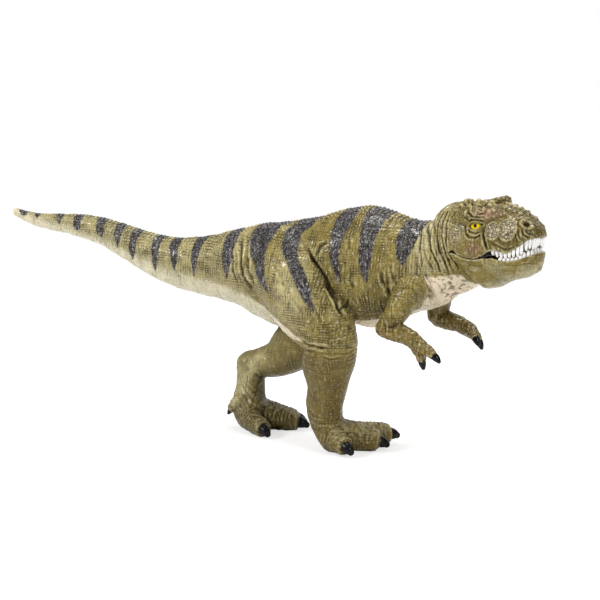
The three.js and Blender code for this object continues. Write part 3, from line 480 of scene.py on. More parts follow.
def fused(shapes, cell):
    """One even skin round overlapping closed skins: their union on a lattice of that cell."""
    item = rough_object(shapes)
    remesh = item.modifiers.new("Union", "REMESH")
    remesh.mode = "VOXEL"
    remesh.voxel_size = cell
    result = read_back(item)
    discard(item)
    if not len(result[0]):
        raise RuntimeError("the union of shapes came out empty")
    return result


def carved(shape, cutters):
    """A closed skin with other closed skins taken away from it."""
    item = rough_object([shape])
    tools = [rough_object([cutter]) for cutter in cutters]
    for tool in tools:
        cut = item.modifiers.new("Cut", "BOOLEAN")
        cut.operation = "DIFFERENCE"
        cut.solver = "MANIFOLD"
        cut.object = tool
    result = read_back(item)
    discard(item, *tools)
    if not len(result[0]):
        raise RuntimeError("a cut left nothing")
    return result


def neighbours(triangles):
    """Pairs of points that share an edge, each both ways."""
    pairs = np.concatenate([triangles[:, [0, 1]], triangles[:, [1, 2]], triangles[:, [2, 0]]])
    return np.concatenate([pairs, pairs[:, ::-1]])


def average(values, pairs, count):
    """Each point's value is the mean over the points next to it."""
    weight = np.bincount(pairs[:, 0], minlength=count)
    total = [np.bincount(pairs[:, 0], column, count) for column in values[pairs[:, 1]].T]
    return np.stack(total, -1) / np.maximum(weight, 1)[:, None]


def relaxed(points, triangles, rounds):
    """Points eased towards the middle of their neighbours and back, which keeps the volume."""
    pairs = neighbours(triangles)
    for _ in range(rounds):
        points = points + 0.5 * (average(points, pairs, len(points)) - points)
        points = points - 0.52 * (average(points, pairs, len(points)) - points)
    return points


def normals_of(points, triangles):
    """Unit normals: the sum of the areas of the triangles that meet at each point."""
    a, b, c = (points[triangles[:, k]] for k in range(3))
    area = np.cross(b - a, c - a)
    total = np.stack([
        sum(np.bincount(triangles[:, k], area[:, axis], len(points)) for k in range(3))
        for axis in range(3)], -1)
    return total / np.maximum(np.linalg.norm(total, axis=1), 1e-12)[:, None]


def skinned(shapes, cell, rounds):
    """One even skin round overlapping shapes, relaxed, with its normals."""
    points, triangles = fused(shapes, cell)
    points = relaxed(points, triangles, rounds)
    return points, triangles, normals_of(points, triangles)


def lifted(points, normals, height, sizes):
    """Points moved out along their normals by the relief's height."""
    return points + normals * (height * sizes.relief)[:, None]


def hollows(points, triangles):
    """How hollow the skin is at each point: the way to its neighbours' middle along the normal,
    in millimetres, evened over three rounds."""
    pairs = neighbours(triangles)
    count = len(points)
    normal = normals_of(points, triangles)
    depth = np.einsum("ij,ij->i", average(points, pairs, count) - points, normal)[:, None]
    for _ in range(3):
        depth = 0.5 * depth + 0.5 * average(depth, pairs, count)
    return depth[:, 0]


# Patterns

def hashed(cells, seed):
    """A repeatable value from 0 to 1 for each cell of a lattice."""
    cells = cells.astype(np.int64)
    mixed = cells[..., 0] * 73856093 ^ cells[..., 1] * 19349663 ^ cells[..., 2] * 83492791
    mixed = (mixed ^ seed * 40503) & 0xFFFFFFFF
    mixed = (mixed ^ mixed >> 15) * 2246822519 & 0xFFFFFFFF
    mixed = (mixed ^ mixed >> 13) * 3266489917 & 0xFFFFFFFF
    return ((mixed ^ mixed >> 16) & 0xFFFFFF) / float(0xFFFFFF)


def noise(points, size, seed=1):
    """Smooth noise, 0 to 1: lattice values blended by t^2 (3 - 2t) between cells of that size."""
    place = points / np.asarray(size, float)
    cell = np.floor(place)
    share = place - cell
    share = share * share * (3 - 2 * share)
    total = np.zeros(len(points))
    for corner in np.ndindex(2, 2, 2):
        weight = np.prod(np.where(corner, share, 1 - share), axis=-1)
        total += weight * hashed(cell + corner, seed)
    return total


def line_distance(spots, line):
    """Distance of 2-D or 3-D spots to a line through points, and the share run along it."""
    line = np.asarray(line, float)
    lengths = np.linalg.norm(np.diff(line, axis=0), axis=1)
    run = np.concatenate([[0], np.cumsum(lengths)]) / lengths.sum()
    best = np.full(len(spots), np.inf)
    share = np.zeros(len(spots))
    for index, (start, end) in enumerate(zip(line[:-1], line[1:])):
        way = end - start
        t = np.clip((spots - start) @ way / (way @ way), 0, 1)
        apart = np.linalg.norm(spots - start - t[:, None] * way, axis=1)
        nearer = apart < best
        best = np.where(nearer, apart, best)
        share = np.where(nearer, run[index] + t * (run[index + 1] - run[index]), share)
    return best, share


def close_to(spots, line, reach):
    """Which spots lie within reach of the box round a line."""
    return np.all((spots > line.min(0) - reach) & (spots < line.max(0) + reach), axis=1)


def crease(spots, line, wide, deep):
    """A groove along a line: -deep exp(-(d/wide)^2), with a low swell beside it, shallower
    towards its ends."""
    result = np.zeros(len(spots))
    line = np.asarray(line, float)
    near = close_to(spots, line, 4 * wide)
    if not near.any():
        return result
    apart, share = line_distance(spots[near], line)
    fade = np.clip(np.minimum(share, 1 - share) * 6, 0.15, 1)
    swell = 0.35 * np.exp(-((apart - 1.9 * wide) / (0.9 * wide)) ** 2)
    result[near] = deep * fade * (swell - np.exp(-(apart / wide) ** 2))
    return result


def inside(spots, outline, soft):
    """1 inside a closed outline and 0 outside, over a soft edge of that width."""
    outline = np.asarray(outline, float)
    result = np.zeros(len(spots))
    near = close_to(spots, outline, soft)
    if not near.any():
        return result
    spots = spots[near]
    ring = np.concatenate([outline, outline[:1]])
    apart, _ = line_distance(spots, ring)
    within = np.zeros(len(spots), bool)
    for (x0, z0), (x1, z1) in zip(ring[:-1], ring[1:]):
        if z0 == z1:
            continue
        crosses = (spots[:, 1] < z0) != (spots[:, 1] < z1)
        within ^= crosses & (spots[:, 0] < (x1 - x0) * (spots[:, 1] - z0) / (z1 - z0) + x0)
    signed = np.where(within, apart, -apart)
    result[near] = step(signed, -soft / 2, soft / 2)
    return result


def rounded(outline):
    """A closed outline with its corners cut: points at 0.1 and 0.9 of each side."""
    here = np.asarray(outline, float)
    ahead = np.roll(here, -1, axis=0)
    return np.stack([0.9 * here + 0.1 * ahead, 0.1 * here + 0.9 * ahead], 1).reshape(-1, 2)


def step(value, low, high):
    """A smooth step from 0 at low to 1 at high."""
    share = np.clip((value - low) / (high - low), 0, 1)
    return share * share * (3 - 2 * share)


def hump(value, middle, wide):
    """exp(-((value - middle) / wide)^2)."""
    return np.exp(-((value - middle) / wide) ** 2)


def lobe(spots, centre, radii):
    """How far out of an ellipse: 1 on its line."""
    return np.linalg.norm((spots - np.array(centre)) / radii, axis=1)


def patch(spots, centre, radii, wide=0.9):
    """A soft patch: exp(-(d/wide)^2), where d is 1 on the line of an ellipse."""
    return hump(lobe(spots, centre, radii), 0, wide)


def strongest(*masks):
    """The highest of several masks at each point."""
    return np.maximum.reduce(masks)


def wrinkles(points, size, seed, sharp=0.16):
    """Thin furrows where smooth noise crosses its middle: 1 in a furrow and 0 away from it."""
    return 1 - step(np.abs(noise(points, size, seed) - 0.5), 0, sharp)


# Materials

def shader(name):
    """A new material with its tree and its surface shader."""
    material = bpy.data.materials.new(name)
    material.use_nodes = True
    tree = material.node_tree
    tree.nodes.clear()
    surface = added(tree, "BsdfPrincipled")
    added(tree, "OutputMaterial", {"Surface": surface.outputs["BSDF"]})
    return material, tree, surface


def fill(tree, node, inputs):
    """Links sockets to a node's inputs and sets its plain values and colours."""
    for key, value in inputs.items():
        socket = node.inputs[key]
        if isinstance(value, bpy.types.NodeSocket):
            tree.links.new(value, socket)
        elif socket.type == "RGBA":
            socket.default_value = (*value[:3], 1)
        else:
            socket.default_value = value


def added(tree, kind, inputs=None, **settings):
    """A new node of a kind, with its settings and inputs."""
    node = tree.nodes.new(f"ShaderNode{kind}")
    for key, value in settings.items():
        setattr(node, key, value)
    fill(tree, node, inputs or {})
    return node


def sums(tree, operation, first, *others):
    """A sum, product or other step on values or sockets, taken one after the other."""
    for other in others:
        first = added(tree, "Math", {0: first, 1: other}, operation=operation).outputs[0]
    return first


def times(tree, *values):
    """All values multiplied."""
    return sums(tree, "MULTIPLY", *values)


def most(tree, *values):
    """The highest of the values."""
    return sums(tree, "MAXIMUM", *values)


def mixed(tree, share, first, second):
    """One colour laid over another by a share."""
    return added(tree, "Mix", {0: share, 6: first, 7: second}, data_type="RGBA").outputs[2]


def layered(tree, colour, *layers):
    """Coats of paint laid over a colour in turn, each a share and a colour."""
    for share, coat in layers:
        colour = mixed(tree, share, colour, coat)
    return colour


def painted(tree, name):
    """A mask painted on the piece."""
    return added(tree, "Attribute", attribute_name=name).outputs["Fac"]


def place_on(tree, stretch=(1, 1, 1)):
    """Object coordinates, stretched."""
    source = added(tree, "TexCoord").outputs["Object"]
    return added(tree, "Mapping", {"Vector": source, "Scale": stretch}).outputs[0]


def cloud(tree, vector, scale, detail=3.0, rough=0.5):
    """Smooth noise, 0 to 1, in patches of about one over the scale, in metres."""
    return added(tree, "TexNoise", {"Vector": vector, "Scale": scale, "Detail": detail,
                                    "Roughness": rough}).outputs["Fac"]


def cells(tree, vector, scale, feature="DISTANCE_TO_EDGE"):
    """Distance to the edge, or with F1 to the middle, of cells of about one over the scale."""
    return added(tree, "TexVoronoi", {"Vector": vector, "Scale": scale},
                 feature=feature).outputs["Distance"]


def between(tree, value, low, high, first=0.0, last=1.0):
    """A value carried smoothly from one range into another."""
    return added(tree, "MapRange", {"Value": value, "From Min": low, "From Max": high,
                                    "To Min": first, "To Max": last},
                 interpolation_type="SMOOTHSTEP").outputs[0]


def bumped(tree, height, depth, under=None):
    """A bump of that depth in metres, on top of another."""
    inputs = {"Height": height, "Distance": depth}
    if under is not None:
        inputs["Normal"] = under
    return added(tree, "Bump", inputs).outputs["Normal"]


def strokes(tree, stretch, pitch, low, high):
    """Short strokes, longer along the axis whose stretch is small: where stretched noise of that
    pitch in metres goes from low to high."""
    return between(tree, cloud(tree, place_on(tree, stretch), 1 / pitch, 2.0, 0.55), low, high)


def lines(tree, axis, pitch, low, high):
    """Lines square to an axis, a pitch in metres apart and bent by noise: where the wave goes from
    low to high. The wave is 0 in the middle of a line and 1 midway between two."""
    wave = added(tree, "TexWave", {
        "Vector": place_on(tree), "Scale": math.pi / 10 / pitch, "Distortion": 6.0, "Detail": 2.0,
        "Detail Scale": 0.5, "Detail Roughness": 0.6}, bands_direction=axis)
    return between(tree, wave.outputs["Fac"], low, high)


UPRIGHT = (1, 1, 0.34)
LEVEL = (0.36, 0.36, 1)


def hatching(tree, spot, pitch, hatch):
    """Shares of the dark wash and of the pale dry brush: lines up and across that clouds break up,
    with short upright strokes over them, and less of the dark ones on cream."""
    worked = between(tree, cloud(tree, spot, 190, 2), 0.36, 0.62, 0.35)
    across = between(tree, cloud(tree, spot, 150, 2), 0.42, 0.56, 0.15)
    upright = between(tree, cloud(tree, spot, 115, 2), 0.58, 0.44, 0.15)
    covered = sums(tree, "SUBTRACT", 1, times(tree, painted(tree, "cream"), 0.72))
    dark = most(tree, times(tree, lines(tree, "X", pitch * 1.1, 0.42, 0.08), upright),
                times(tree, lines(tree, "Z", pitch, 0.42, 0.08), across),
                times(tree, strokes(tree, UPRIGHT, pitch * 0.8, 0.46, 0.38), 0.7))
    pale = times(tree, lines(tree, "X", pitch * 1.1, 0.5, 0.9), lines(tree, "Z", pitch, 0.4, 0.8),
                 between(tree, cloud(tree, spot, 620, 2), 0.46, 0.6))
    pale = most(tree, pale, strokes(tree, UPRIGHT, pitch * 0.7, 0.56, 0.64))
    return times(tree, dark, covered, worked, 0.9 * hatch), times(tree, pale, worked, hatch)


def scale_pits(tree, spot):
    """Share of the dark between pale scales: round and cracked cells, bent by noise."""
    warp = added(tree, "TexNoise", {"Vector": spot, "Scale": 500}).outputs["Color"]
    bent = added(tree, "VectorMath", {0: warp, 1: (0.0012, 0.0012, 0.0012), 2: spot},
                 operation="MULTIPLY_ADD").outputs[0]
    return most(tree, between(tree, cells(tree, bent, 1050, "F1"), 0.26, 0.40, 0.9, 0),
                between(tree, cells(tree, bent, 780), 0.03, 0.12, 0.9, 0))


def skin_paint(name, colours, sizes, hatch=1.0, varnish=0.0, brush=1.0):
    """Olive vinyl, painted in layers: olive varied by clouds; the brown, grey, cream and rosy masks;
    the light mask, painted highlight, with paler paint on the tail; the shade mask, painted shade;
    a pale dry brush and a dark wash; stripes with fine bright streaks; pale patches with dark pits;
    the brush on ridges, painted highlight on the hock and the tops of the toes; the maroon mouth;
    and the wash in grooves, with painted shade in the creases and in the recess before the eye.
    Varnish lies over it in patches, apart from the mouth."""
    material, tree, surface = shader(name)
    spot = place_on(tree)
    small = cloud(tree, spot, 800, 3, 0.6)
    mask = {key: painted(tree, key) for key in MASKS}
    pitch, brushing = sizes.stroke_pitch, sizes.dry_brush * brush
    dark, pale = hatching(tree, spot, pitch, hatch)
    pits = scale_pits(tree, spot)
    streak = most(tree, times(tree, strokes(tree, UPRIGHT, pitch * 0.6, 0.58, 0.69), 0.65),
                  times(tree, strokes(tree, LEVEL, pitch * 0.6, 0.60, 0.71), 0.4),
                  times(tree, pale, 0.7))
    ragged = times(tree, sums(tree, "SUBTRACT", small, 0.5), 0.7,
                   between(tree, mask["cream"], 0, 0.15))
    cream = sums(tree, "ADD", mask["cream"], ragged)
    colour = layered(
        tree, colours.olive,
        (between(tree, cloud(tree, spot, 60, 3), 0.38, 0.62), colours.olive_light),
        (between(tree, small, 0.4, 0.72, 0, 0.4), colours.olive_dark),
        (times(tree, mask["brown"], between(tree, small, 0.36, 0.6, 0.35, 0.85)), colours.brown),
        # Painted highlight: straw over the light mask
        (times(tree, mask["light"], 0.5), colours.straw),
        # Painted shade: dark olive over the shade mask
        (mask["shade"], colours.olive_dark),
        (mask["grey"], mixed(tree, small, colours.grey, colours.bone)),
        (between(tree, cream, 0.05, 0.55), colours.straw_dull),
        (between(tree, cream, 0.35, 0.9),
         mixed(tree, mask["pink"], colours.cream, colours.cream_rosy)),
        (times(tree, mask["rosy"], between(tree, small, 0.3, 0.6, 0.5)), colours.mauve),
        (times(tree, pale, brushing), colours.straw),
        (times(tree, dark, sizes.wash), colours.wash),
        (mask["stripe"], mixed(tree, streak, colours.stripe, colours.stripe_pale)),
        (mask["scaly"], mixed(tree, times(tree, pits, 0.95), colours.bone, colours.wash)),
        # Dry brush on ridges, which on the hock and the tops of the toes is painted highlight
        (times(tree, mask["raised"], between(tree, small, 0.35, 0.6, 0.45), brushing),
         mixed(tree, mask["stripe"], colours.straw, colours.stripe_pale)),
        (mask["maroon"], colours.maroon),
        # Wash in grooves, with painted shade in the creases and in the recess before the eye
        (times(tree, mask["groove"], sizes.wash), colours.wash))

    pebble = times(tree, between(tree, cells(tree, spot, 640, "F1"), 0.55, 0.1), mask["pebble"])
    normal = None
    for height, depth in ((sums(tree, "SUBTRACT", pale, dark), 0.00042),
                          (times(tree, streak, mask["stripe"]), 0.0002), (small, 0.0001),
                          (pebble, 0.00045), (times(tree, pits, mask["scaly"]), -0.0003)):
        normal = bumped(tree, height, depth, normal)
    rough = sums(tree, "SUBTRACT", between(tree, small, 0.3, 0.7, 0.27, 0.4),
                 times(tree, mask["gloss"], 0.1))
    bare = sums(tree, "SUBTRACT", 1, mask["stripe"])
    dry = between(tree, mask["maroon"], 0, 1, 1, 0.1)
    coat = between(tree, cloud(tree, spot, 420, 2), 0.5, 0.62, 0, varnish)
    fill(tree, surface, {
        "Base Color": colour, "Normal": normal,
        "Roughness": sums(tree, "ADD", rough, times(tree, bare, 0.04)),
        "Coat Weight": times(tree, coat, dry), "Coat Roughness": 0.16,
        "Specular IOR Level": times(tree, dry, 0.34), "Specular Tint": (1.0, 0.9, 0.62)})
    return material


def plain_finish(tree, surface, colour, grain, rough, height, depth):
    """A colour, a roughness that a grain carries between two values, and a fine bump."""
    fill(tree, surface, {"Base Color": colour,
                         "Roughness": between(tree, grain, 0.3, 0.7, *rough),
                         "Normal": bumped(tree, height, depth)})


# Pieces

def finished(name, node, shape, material, body, masks=None, sharp=None):
    """A closed skin put in its place, instead of a node of the frame: millimetres made metres, and
    masks written on its points."""
    points, triangles = shape
    mesh = bpy.data.meshes.new(name)
    mesh.from_pydata((points + PLACE) * MM, [], triangles)
    mesh.update()
    mesh.polygons.foreach_set("use_smooth", np.ones(len(mesh.polygons), bool))
    if sharp is not None:
        mesh.set_sharp_from_angle(angle=math.radians(sharp))
    for key, values in (masks or {}).items():
        attribute = mesh.attributes.new(key, "FLOAT", "POINT")
        attribute.data.foreach_set("value", np.clip(values, 0, 1).astype(np.float32))
    mesh.materials.append(material)
    item = bpy.data.objects.new(name, mesh)
    bpy.context.scene.collection.objects.link(item)
    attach(item, body)
    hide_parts(node)


def brushed(points, triangles, cell, masks, free=1.0):
    """Adds the wash in the hollows and the dry brush on the ridges to a piece's masks. Free is 0
    beside a cut, where both are left out."""
    depth = hollows(points, triangles) / cell
    hollow, ridge = step(depth, 0.015, 0.16) * free, step(-depth, 0.012, 0.11) * free
    masks["groove"] = np.clip(masks.get("groove", 0) + hollow, 0, 1)
    masks["raised"] = np.maximum(masks.get("raised", 0), ridge)
    return {key: masks.get(key, 0) + np.zeros(len(points)) for key in MASKS}


def clear_of(points, planes):
    """0 on a cut's plane and 1 from 0.7 mm away."""
    return np.min([step(np.abs((points - point) @ normal), 0.1, 0.7)
                   for point, normal in planes], axis=0)


def leg_path(shares):
    """Rows of a leg made millimetres: shares of the leg's height and of the legs' spread."""
    return np.asarray(shares, float) * [LEG, -SPREAD, LEG, LEG, SPREAD] + [HIP, 0, 0, 0, 0]


def leg_point(shares):
    """A place on a leg made millimetres."""
    return leg_path([*shares[:3], 0, 0])[:3]


def knee_plane(knee):
    """A place on a knee's seam and the way up from it, tilted forwards."""
    point, tilt = knee
    return leg_point(point), np.array([math.sin(tilt), 0, math.cos(tilt)])


TAIL_SEAM = np.array([SPINE * 0.552, 0, BACK * 0.7])
NECK_SEAM = np.array([SPINE * 0.9, 0, BACK * 0.78])
FORWARD = np.array([1.0, 0, 0])
NECK_FORWARD = np.array([math.cos(math.radians(21)), 0, math.sin(math.radians(21))])
SEAMS = [(TAIL_SEAM, FORWARD), (NECK_SEAM, NECK_FORWARD), knee_plane(RIGHT_KNEE),
         knee_plane(LEFT_KNEE)]


def swirled(points, size, amount, seed):
    """Points moved about by smooth noise, so that lines drawn on them wander."""
    shift = [noise(points, size, seed + turn) - 0.5 for turn in range(3)]
    return points + amount * np.stack(shift, -1)


def folds(points):
    """Height of the creases of both sides, fading out towards the middle of the back."""
    side = swirled(points, 4.5, 1.6, 71)[:, [0, 2]]
    total = sum(crease(side, *one) for one in CREASES)
    for lines, here in ((RIGHT_CREASES, points[:, 1] < 0), (LEFT_CREASES, points[:, 1] >= 0)):
        total[here] += sum(crease(side[here], *one) for one in lines)
    return total * step(np.abs(points[:, 1]), 3, 9)


def flank_relief(points, normals):
    """Height of the skin of the trunk and tail: upright wrinkles from noise that is stretched
    upwards, low folds across, and a row of small knobs along the back."""
    bent = swirled(points, 12, 4.5, 3)
    front = step(points[:, 0], 196, 214)
    height = -(0.28 + 0.14 * front) * wrinkles(bent, (4.2, 12, 17), 5, 0.12)
    height -= 0.18 * wrinkles(bent, (2.3, 7, 8), 6, 0.18)
    height -= 0.17 * wrinkles(bent, (9, 6, 2.6), 7, 0.18)
    height += 0.4 * (noise(points, (6, 9, 11), 8) - 0.5)
    row = spine_row(points, normals) * (0.45 + 0.55 * step(points[:, 0], 110, 135))
    return height + row * (studs(points) - 0.3)


def studs(points):
    """Height of the small knobs in rows along the back, between 0 and 1: a product of sines."""
    along = np.abs(np.sin(np.pi * points[:, 0] / 2.0))
    return along * np.abs(np.cos(np.pi * (points[:, 1] + 1) / 2.6))


def spine_row(points, normals):
    """1 along the middle of the back, where the small knobs stand."""
    middle = step(np.abs(points[:, 1] + 1), 7, 5) * step(points[:, 2], 78, 84)
    return step(normals[:, 2], 0.8, 0.97) * middle


def leg_relief(points):
    """Wrinkles of a leg: rings near the knee, upright lines on the shin, rings on the foot."""
    bent = swirled(points, 9, 3.0, 13)
    knee = hump(points[:, 2], 49, 9)
    height = -(0.12 + 0.24 * knee) * wrinkles(bent, (7, 7, 1.9), 16, 0.15)
    height -= 0.15 * wrinkles(bent, (1.9, 1.9, 9), 17, 0.15) * (1 - 0.6 * knee)
    height -= 0.2 * wrinkles(bent, (4, 6, 1.8), 18, 0.2) * step(points[:, 2], 26, 14)
    return height + 0.2 * (noise(points, 6, 19) - 0.5)


def on_leg(points):
    """1 on a leg and 0 on the trunk, smooth between them."""
    return step(np.abs(points[:, 1]), 9, 14) * step(points[:, 2], 68, 50)


def skin_relief(points, normals):
    """Height of the skin of the trunk, tail, neck and legs, one function on both sides of each
    seam: the folds, and the wrinkles of the flank or of the leg."""
    leg = on_leg(points)
    thin = 0.4 + 0.6 * step(points[:, 0], 0, 60)
    flank = flank_relief(points, normals) * thin
    return folds(points) + (1 - leg) * flank + leg * leg_relief(points)


# Upper edge of the cream: places along, heights
BELLY_LINE = (
    [0, 10, 25, 40, 60, 75, 90, 111, 131, 139, 148, 161, 171, 181, 199, 209, 219, 226, 231, 235,
     240, 246],
    [102, 98, 95, 93, 88.5, 84.5, 79.5, 76, 73.5, 71, 67, 64, 64, 64, 63, 62.5, 65, 67.5, 73, 79,
     84, 86])
THIGH_LINES = {
    "right": ([139, 148, 161, 171, 181, 186], [71, 66, 62.5, 56, 52, 38]),
    "left": ([139, 146, 150, 153, 157], [71, 64, 58, 50, 36]),
}


def skin_masks(points, normals):
    """Masks of the trunk, tail, neck and legs. Stripes are outlines along and up with a ragged
    edge. Cream runs from 0 above the belly line to 1 below it, more gradual on the tail, and on a
    thigh only along its rear edge. Creases and the gaps of the spine row are dark."""
    along, aside, up = points.T
    side = points[:, [0, 2]]
    ragged = 0.8 * (noise(points, (4, 20, 4), 21) - 0.5)
    ragged += 0.3 * (noise(points, (1.6, 9, 0.9), 22) - 0.5)
    torn = np.stack([along + ragged, up], -1)
    stripe = strongest(*(inside(torn, rounded(outline), 0.3) for outline in STRIPES))

    belly = np.interp(along, *BELLY_LINE)
    thigh = np.where(aside < 0, *(np.interp(along, *THIGH_LINES[leg]) for leg in ("right", "left")))
    leg = step(np.abs(aside), 13, 18) * step(along, 206, 203)
    line = belly + (thigh - belly) * leg + 2.4 * (noise(points, 5, 23) - 0.5)
    soft = np.interp(along, [0, 60, 110, 135, 150, 200], [6, 11, 10, 6, 2.5, 1.6])
    cream = step(line - up, -0.45 * soft, 0.75 * soft)
    throat = step(along, 236, 242) * cream
    speckle = step(noise(points, (1.6, 1.6, 1.2), 24), 0.66, 0.74) * throat
    cream = cream * step(up, 50, 54)
    pink = step(along, 150, 185) * (0.4 + 0.6 * step(noise(points, 9, 25), 0.4, 0.6))
    tip = step(along, 4, 2)

    calf = step(aside, 6, 9) * step(up, 62, 54) * step(up, 18, 26)
    shin = step(up, 52, 42) * on_leg(points)
    foot = step(up, 20, 10)
    left = step(along, 172, 167)
    # The hock: a lit ridge down the back of the left metatarsus, painted highlight that also takes
    # away painted shade. The hollow: painted shade in front of that ridge.
    tendon = np.interp(up, [10, 14, 21, 33, 40], [128, 127.5, 128.5, 134, 140])
    hock = left * step(up, 40, 34) * step(up, 9, 14) * hump((along - tendon) / 4.5, 0, 0.9)
    hollow = left * patch(side, (138, 17), (6.5, 10))
    # Painted highlight on the tops of the toes, laid on with the dry brush
    wear_and_highlight = foot * step(normals[:, 2], 0.3, 0.8) * step(noise(points, 1.8, 26), 0.52, 0.66)
    # Painted shade: the arm's shadow on the flank, the lower left side, the shins, and the feet, the
    # far left foot most
    shade = strongest(0.75 * patch(side, (208, 66), (15, 8)),
                      0.6 * step(aside, 4, 9) * step(up, 62, 50),
                      0.5 * shin + np.where(along < 170, 0.95, 0.1) * foot)
    # Painted highlight on the right thigh, the rump, the neck, the hock's ridge and the tops of the
    # right toes; the tail and the rear of the trunk are paler
    light = strongest(patch(side, (170, 74), (11, 18)) * step(-aside, 4, 9),
                      0.7 * patch(side, (148, 78), (9, 9)), 0.75 * step(along, 216, 232),
                      0.45 * step(along, 166, 130), hock,
                      0.55 * foot * step(normals[:, 2], 0.1, 0.7) * step(along, 167, 172))
    # Dark wash and painted shade in the creases, less on the neck
    groove = step(-folds(points), 0.25, 1.3) * (1 - 0.55 * step(along, 222, 232))
    gaps = spine_row(points, normals) * step(studs(points), 0.5, 0.1)
    return {"stripe": stripe * (1 - tip), "cream": np.maximum(cream, tip),
            "pink": np.maximum(pink, 0.6 * tip), "light": light,
            "shade": np.maximum(shade * (1 - 0.8 * hock), hollow),
            "groove": np.clip(groove + 0.8 * gaps + 0.7 * speckle, 0, 1),
            "grey": 0.3 * np.maximum(calf * (1 - foot), step(along, 150, 118) * (1 - cream)),
            "brown": np.maximum(0.95 * shin, foot), "pebble": foot * step(normals[:, 2], -0.2, 0.3),
            "gloss": np.maximum(0.8 * shin, foot), "raised": np.maximum(0.7 * hock, wear_and_highlight)}


def painted_skin(name, node, points, triangles, cell, material):
    """A carved piece of the body's skin with its masks."""
    masks = skin_masks(points, normals_of(points, triangles))
    masks = brushed(points, triangles, cell, masks, clear_of(points, SEAMS))
    finished(name, node, (points, triangles), material, "figure", masks, sharp=60)


def leg_grids(side):
    """Rings of a whole leg down to the ankle, in one shape or three."""
    if side == "right":
        return [limb(leg_path(smooth_rows(RIGHT_LEG, 130)), 64)]
    parts = (LEFT_THIGH, LEFT_CALF, LEFT_FOOT)
    return [limb(leg_path(smooth_rows(rows, 60)), 64) for rows in parts]


class FIGURE_OT_trunk(bpy.types.Operator):
    """The trunk with both thighs, and the tail"""
    bl_idname = "figure.trunk"
    bl_label = "Trunk and tail"

    def execute(self, context):
        sizes, colours = context.scene.figure_sizes, context.scene.figure_colours
        material = skin_paint("Striped skin", colours, sizes, 1.0, 0.4)
        # Every part goes on past its seams, where it is cut after the relief
        front = trunk_part(TAIL_SEAM[0] - 8, NECK_SEAM[0] + 20)
        right = leg_grids("right")[0]
        right = right[right[:, :, 2].max(1) > knee_plane(RIGHT_KNEE)[0][2] - 10]
        thigh, calf, _ = leg_grids("left")
        knees = [seam_cut(*knee_plane(knee), *KNEE_CUT) for knee in (RIGHT_KNEE, LEFT_KNEE)]
        torso = ("torso_skin", "torso", sizes.trunk_cell, 6, [front, right, thigh, calf[:45]],
                 [seam_cut(TAIL_SEAM, FORWARD, *BODY_CUT),
                  seam_cut(NECK_SEAM, -NECK_FORWARD, *BODY_CUT), *knees])
        tail = ("tail_skin", "tail", sizes.tail_cell, 4, [trunk_part(high=TAIL_SEAM[0] + 6)],
                [seam_cut(TAIL_SEAM, -FORWARD, *BODY_CUT)])
        for name, node, cell, rounds, grids, cuts in (torso, tail):
            points, triangles, normals = skinned([closed(grid) for grid in grids], cell, rounds)
            points = lifted(points, normals, skin_relief(points, normals), sizes)
            points, triangles = carved((points, triangles), cuts)
            painted_skin(name, node, points, triangles, cell, material)
        return {"FINISHED"}


# Head

def valued(rows, along, column):
    """A row's value at a place along the head, straight between the rows."""
    return np.interp(along, rows[:, 0], rows[:, column])


def lip_block(rows, column, lift, direction):
    """A block along the head, from its lip line up or down."""
    near = rows[:, column] + lift
    far = near + direction * HEAD_TALL
    low, high = (near, far) if direction > 0 else (far, near)
    along = rows[:, 0].copy()
    along[0] -= 2
    along[-1] += 2
    wide = np.full(len(rows), HEAD_WIDE)
    return np.stack([
        np.stack([along, wide, low], -1), np.stack([along, wide, high], -1),
        np.stack([along, -wide, high], -1), np.stack([along, -wide, low], -1)], 1)


def jaw_outer(extra):
    """The jaw's rounded outside, below its lip line."""
    rows = smooth_rows(JAW, 60)
    rows[0, 0] -= extra
    rows[-1, 0] += extra
    shape = rows.copy()
    shape[:, 1] += LIP_ROLL
    whole = closed(egg(shape, 0.7, 2.7, 80, extra))
    return carved(whole, [closed(lip_block(rows, 1, extra, 1))])


def jaw_trough(extra):
    """The hollow of the jaw, open above and behind."""
    rows = smooth_rows(JAW[JAW[:, 0] < HEAD * 0.64], 40)
    blend = step(rows[:, 0], HEAD * 0.14, HEAD * 0.19)
    floor = rows[:, 2] + JAW_FLOOR + extra
    low = -HEAD_TALL + (floor + HEAD_TALL) * blend
    half = rows[:, 3] - 3.4 - extra
    hollow = np.stack([rows[:, 0], np.full(len(rows), HEAD_TALL / 2), low, half], -1)
    rear = hollow[:1].copy()
    rear[0, 0] -= 6
    return closed(egg(np.concatenate([rear, hollow]), 0.5, 6, 48))


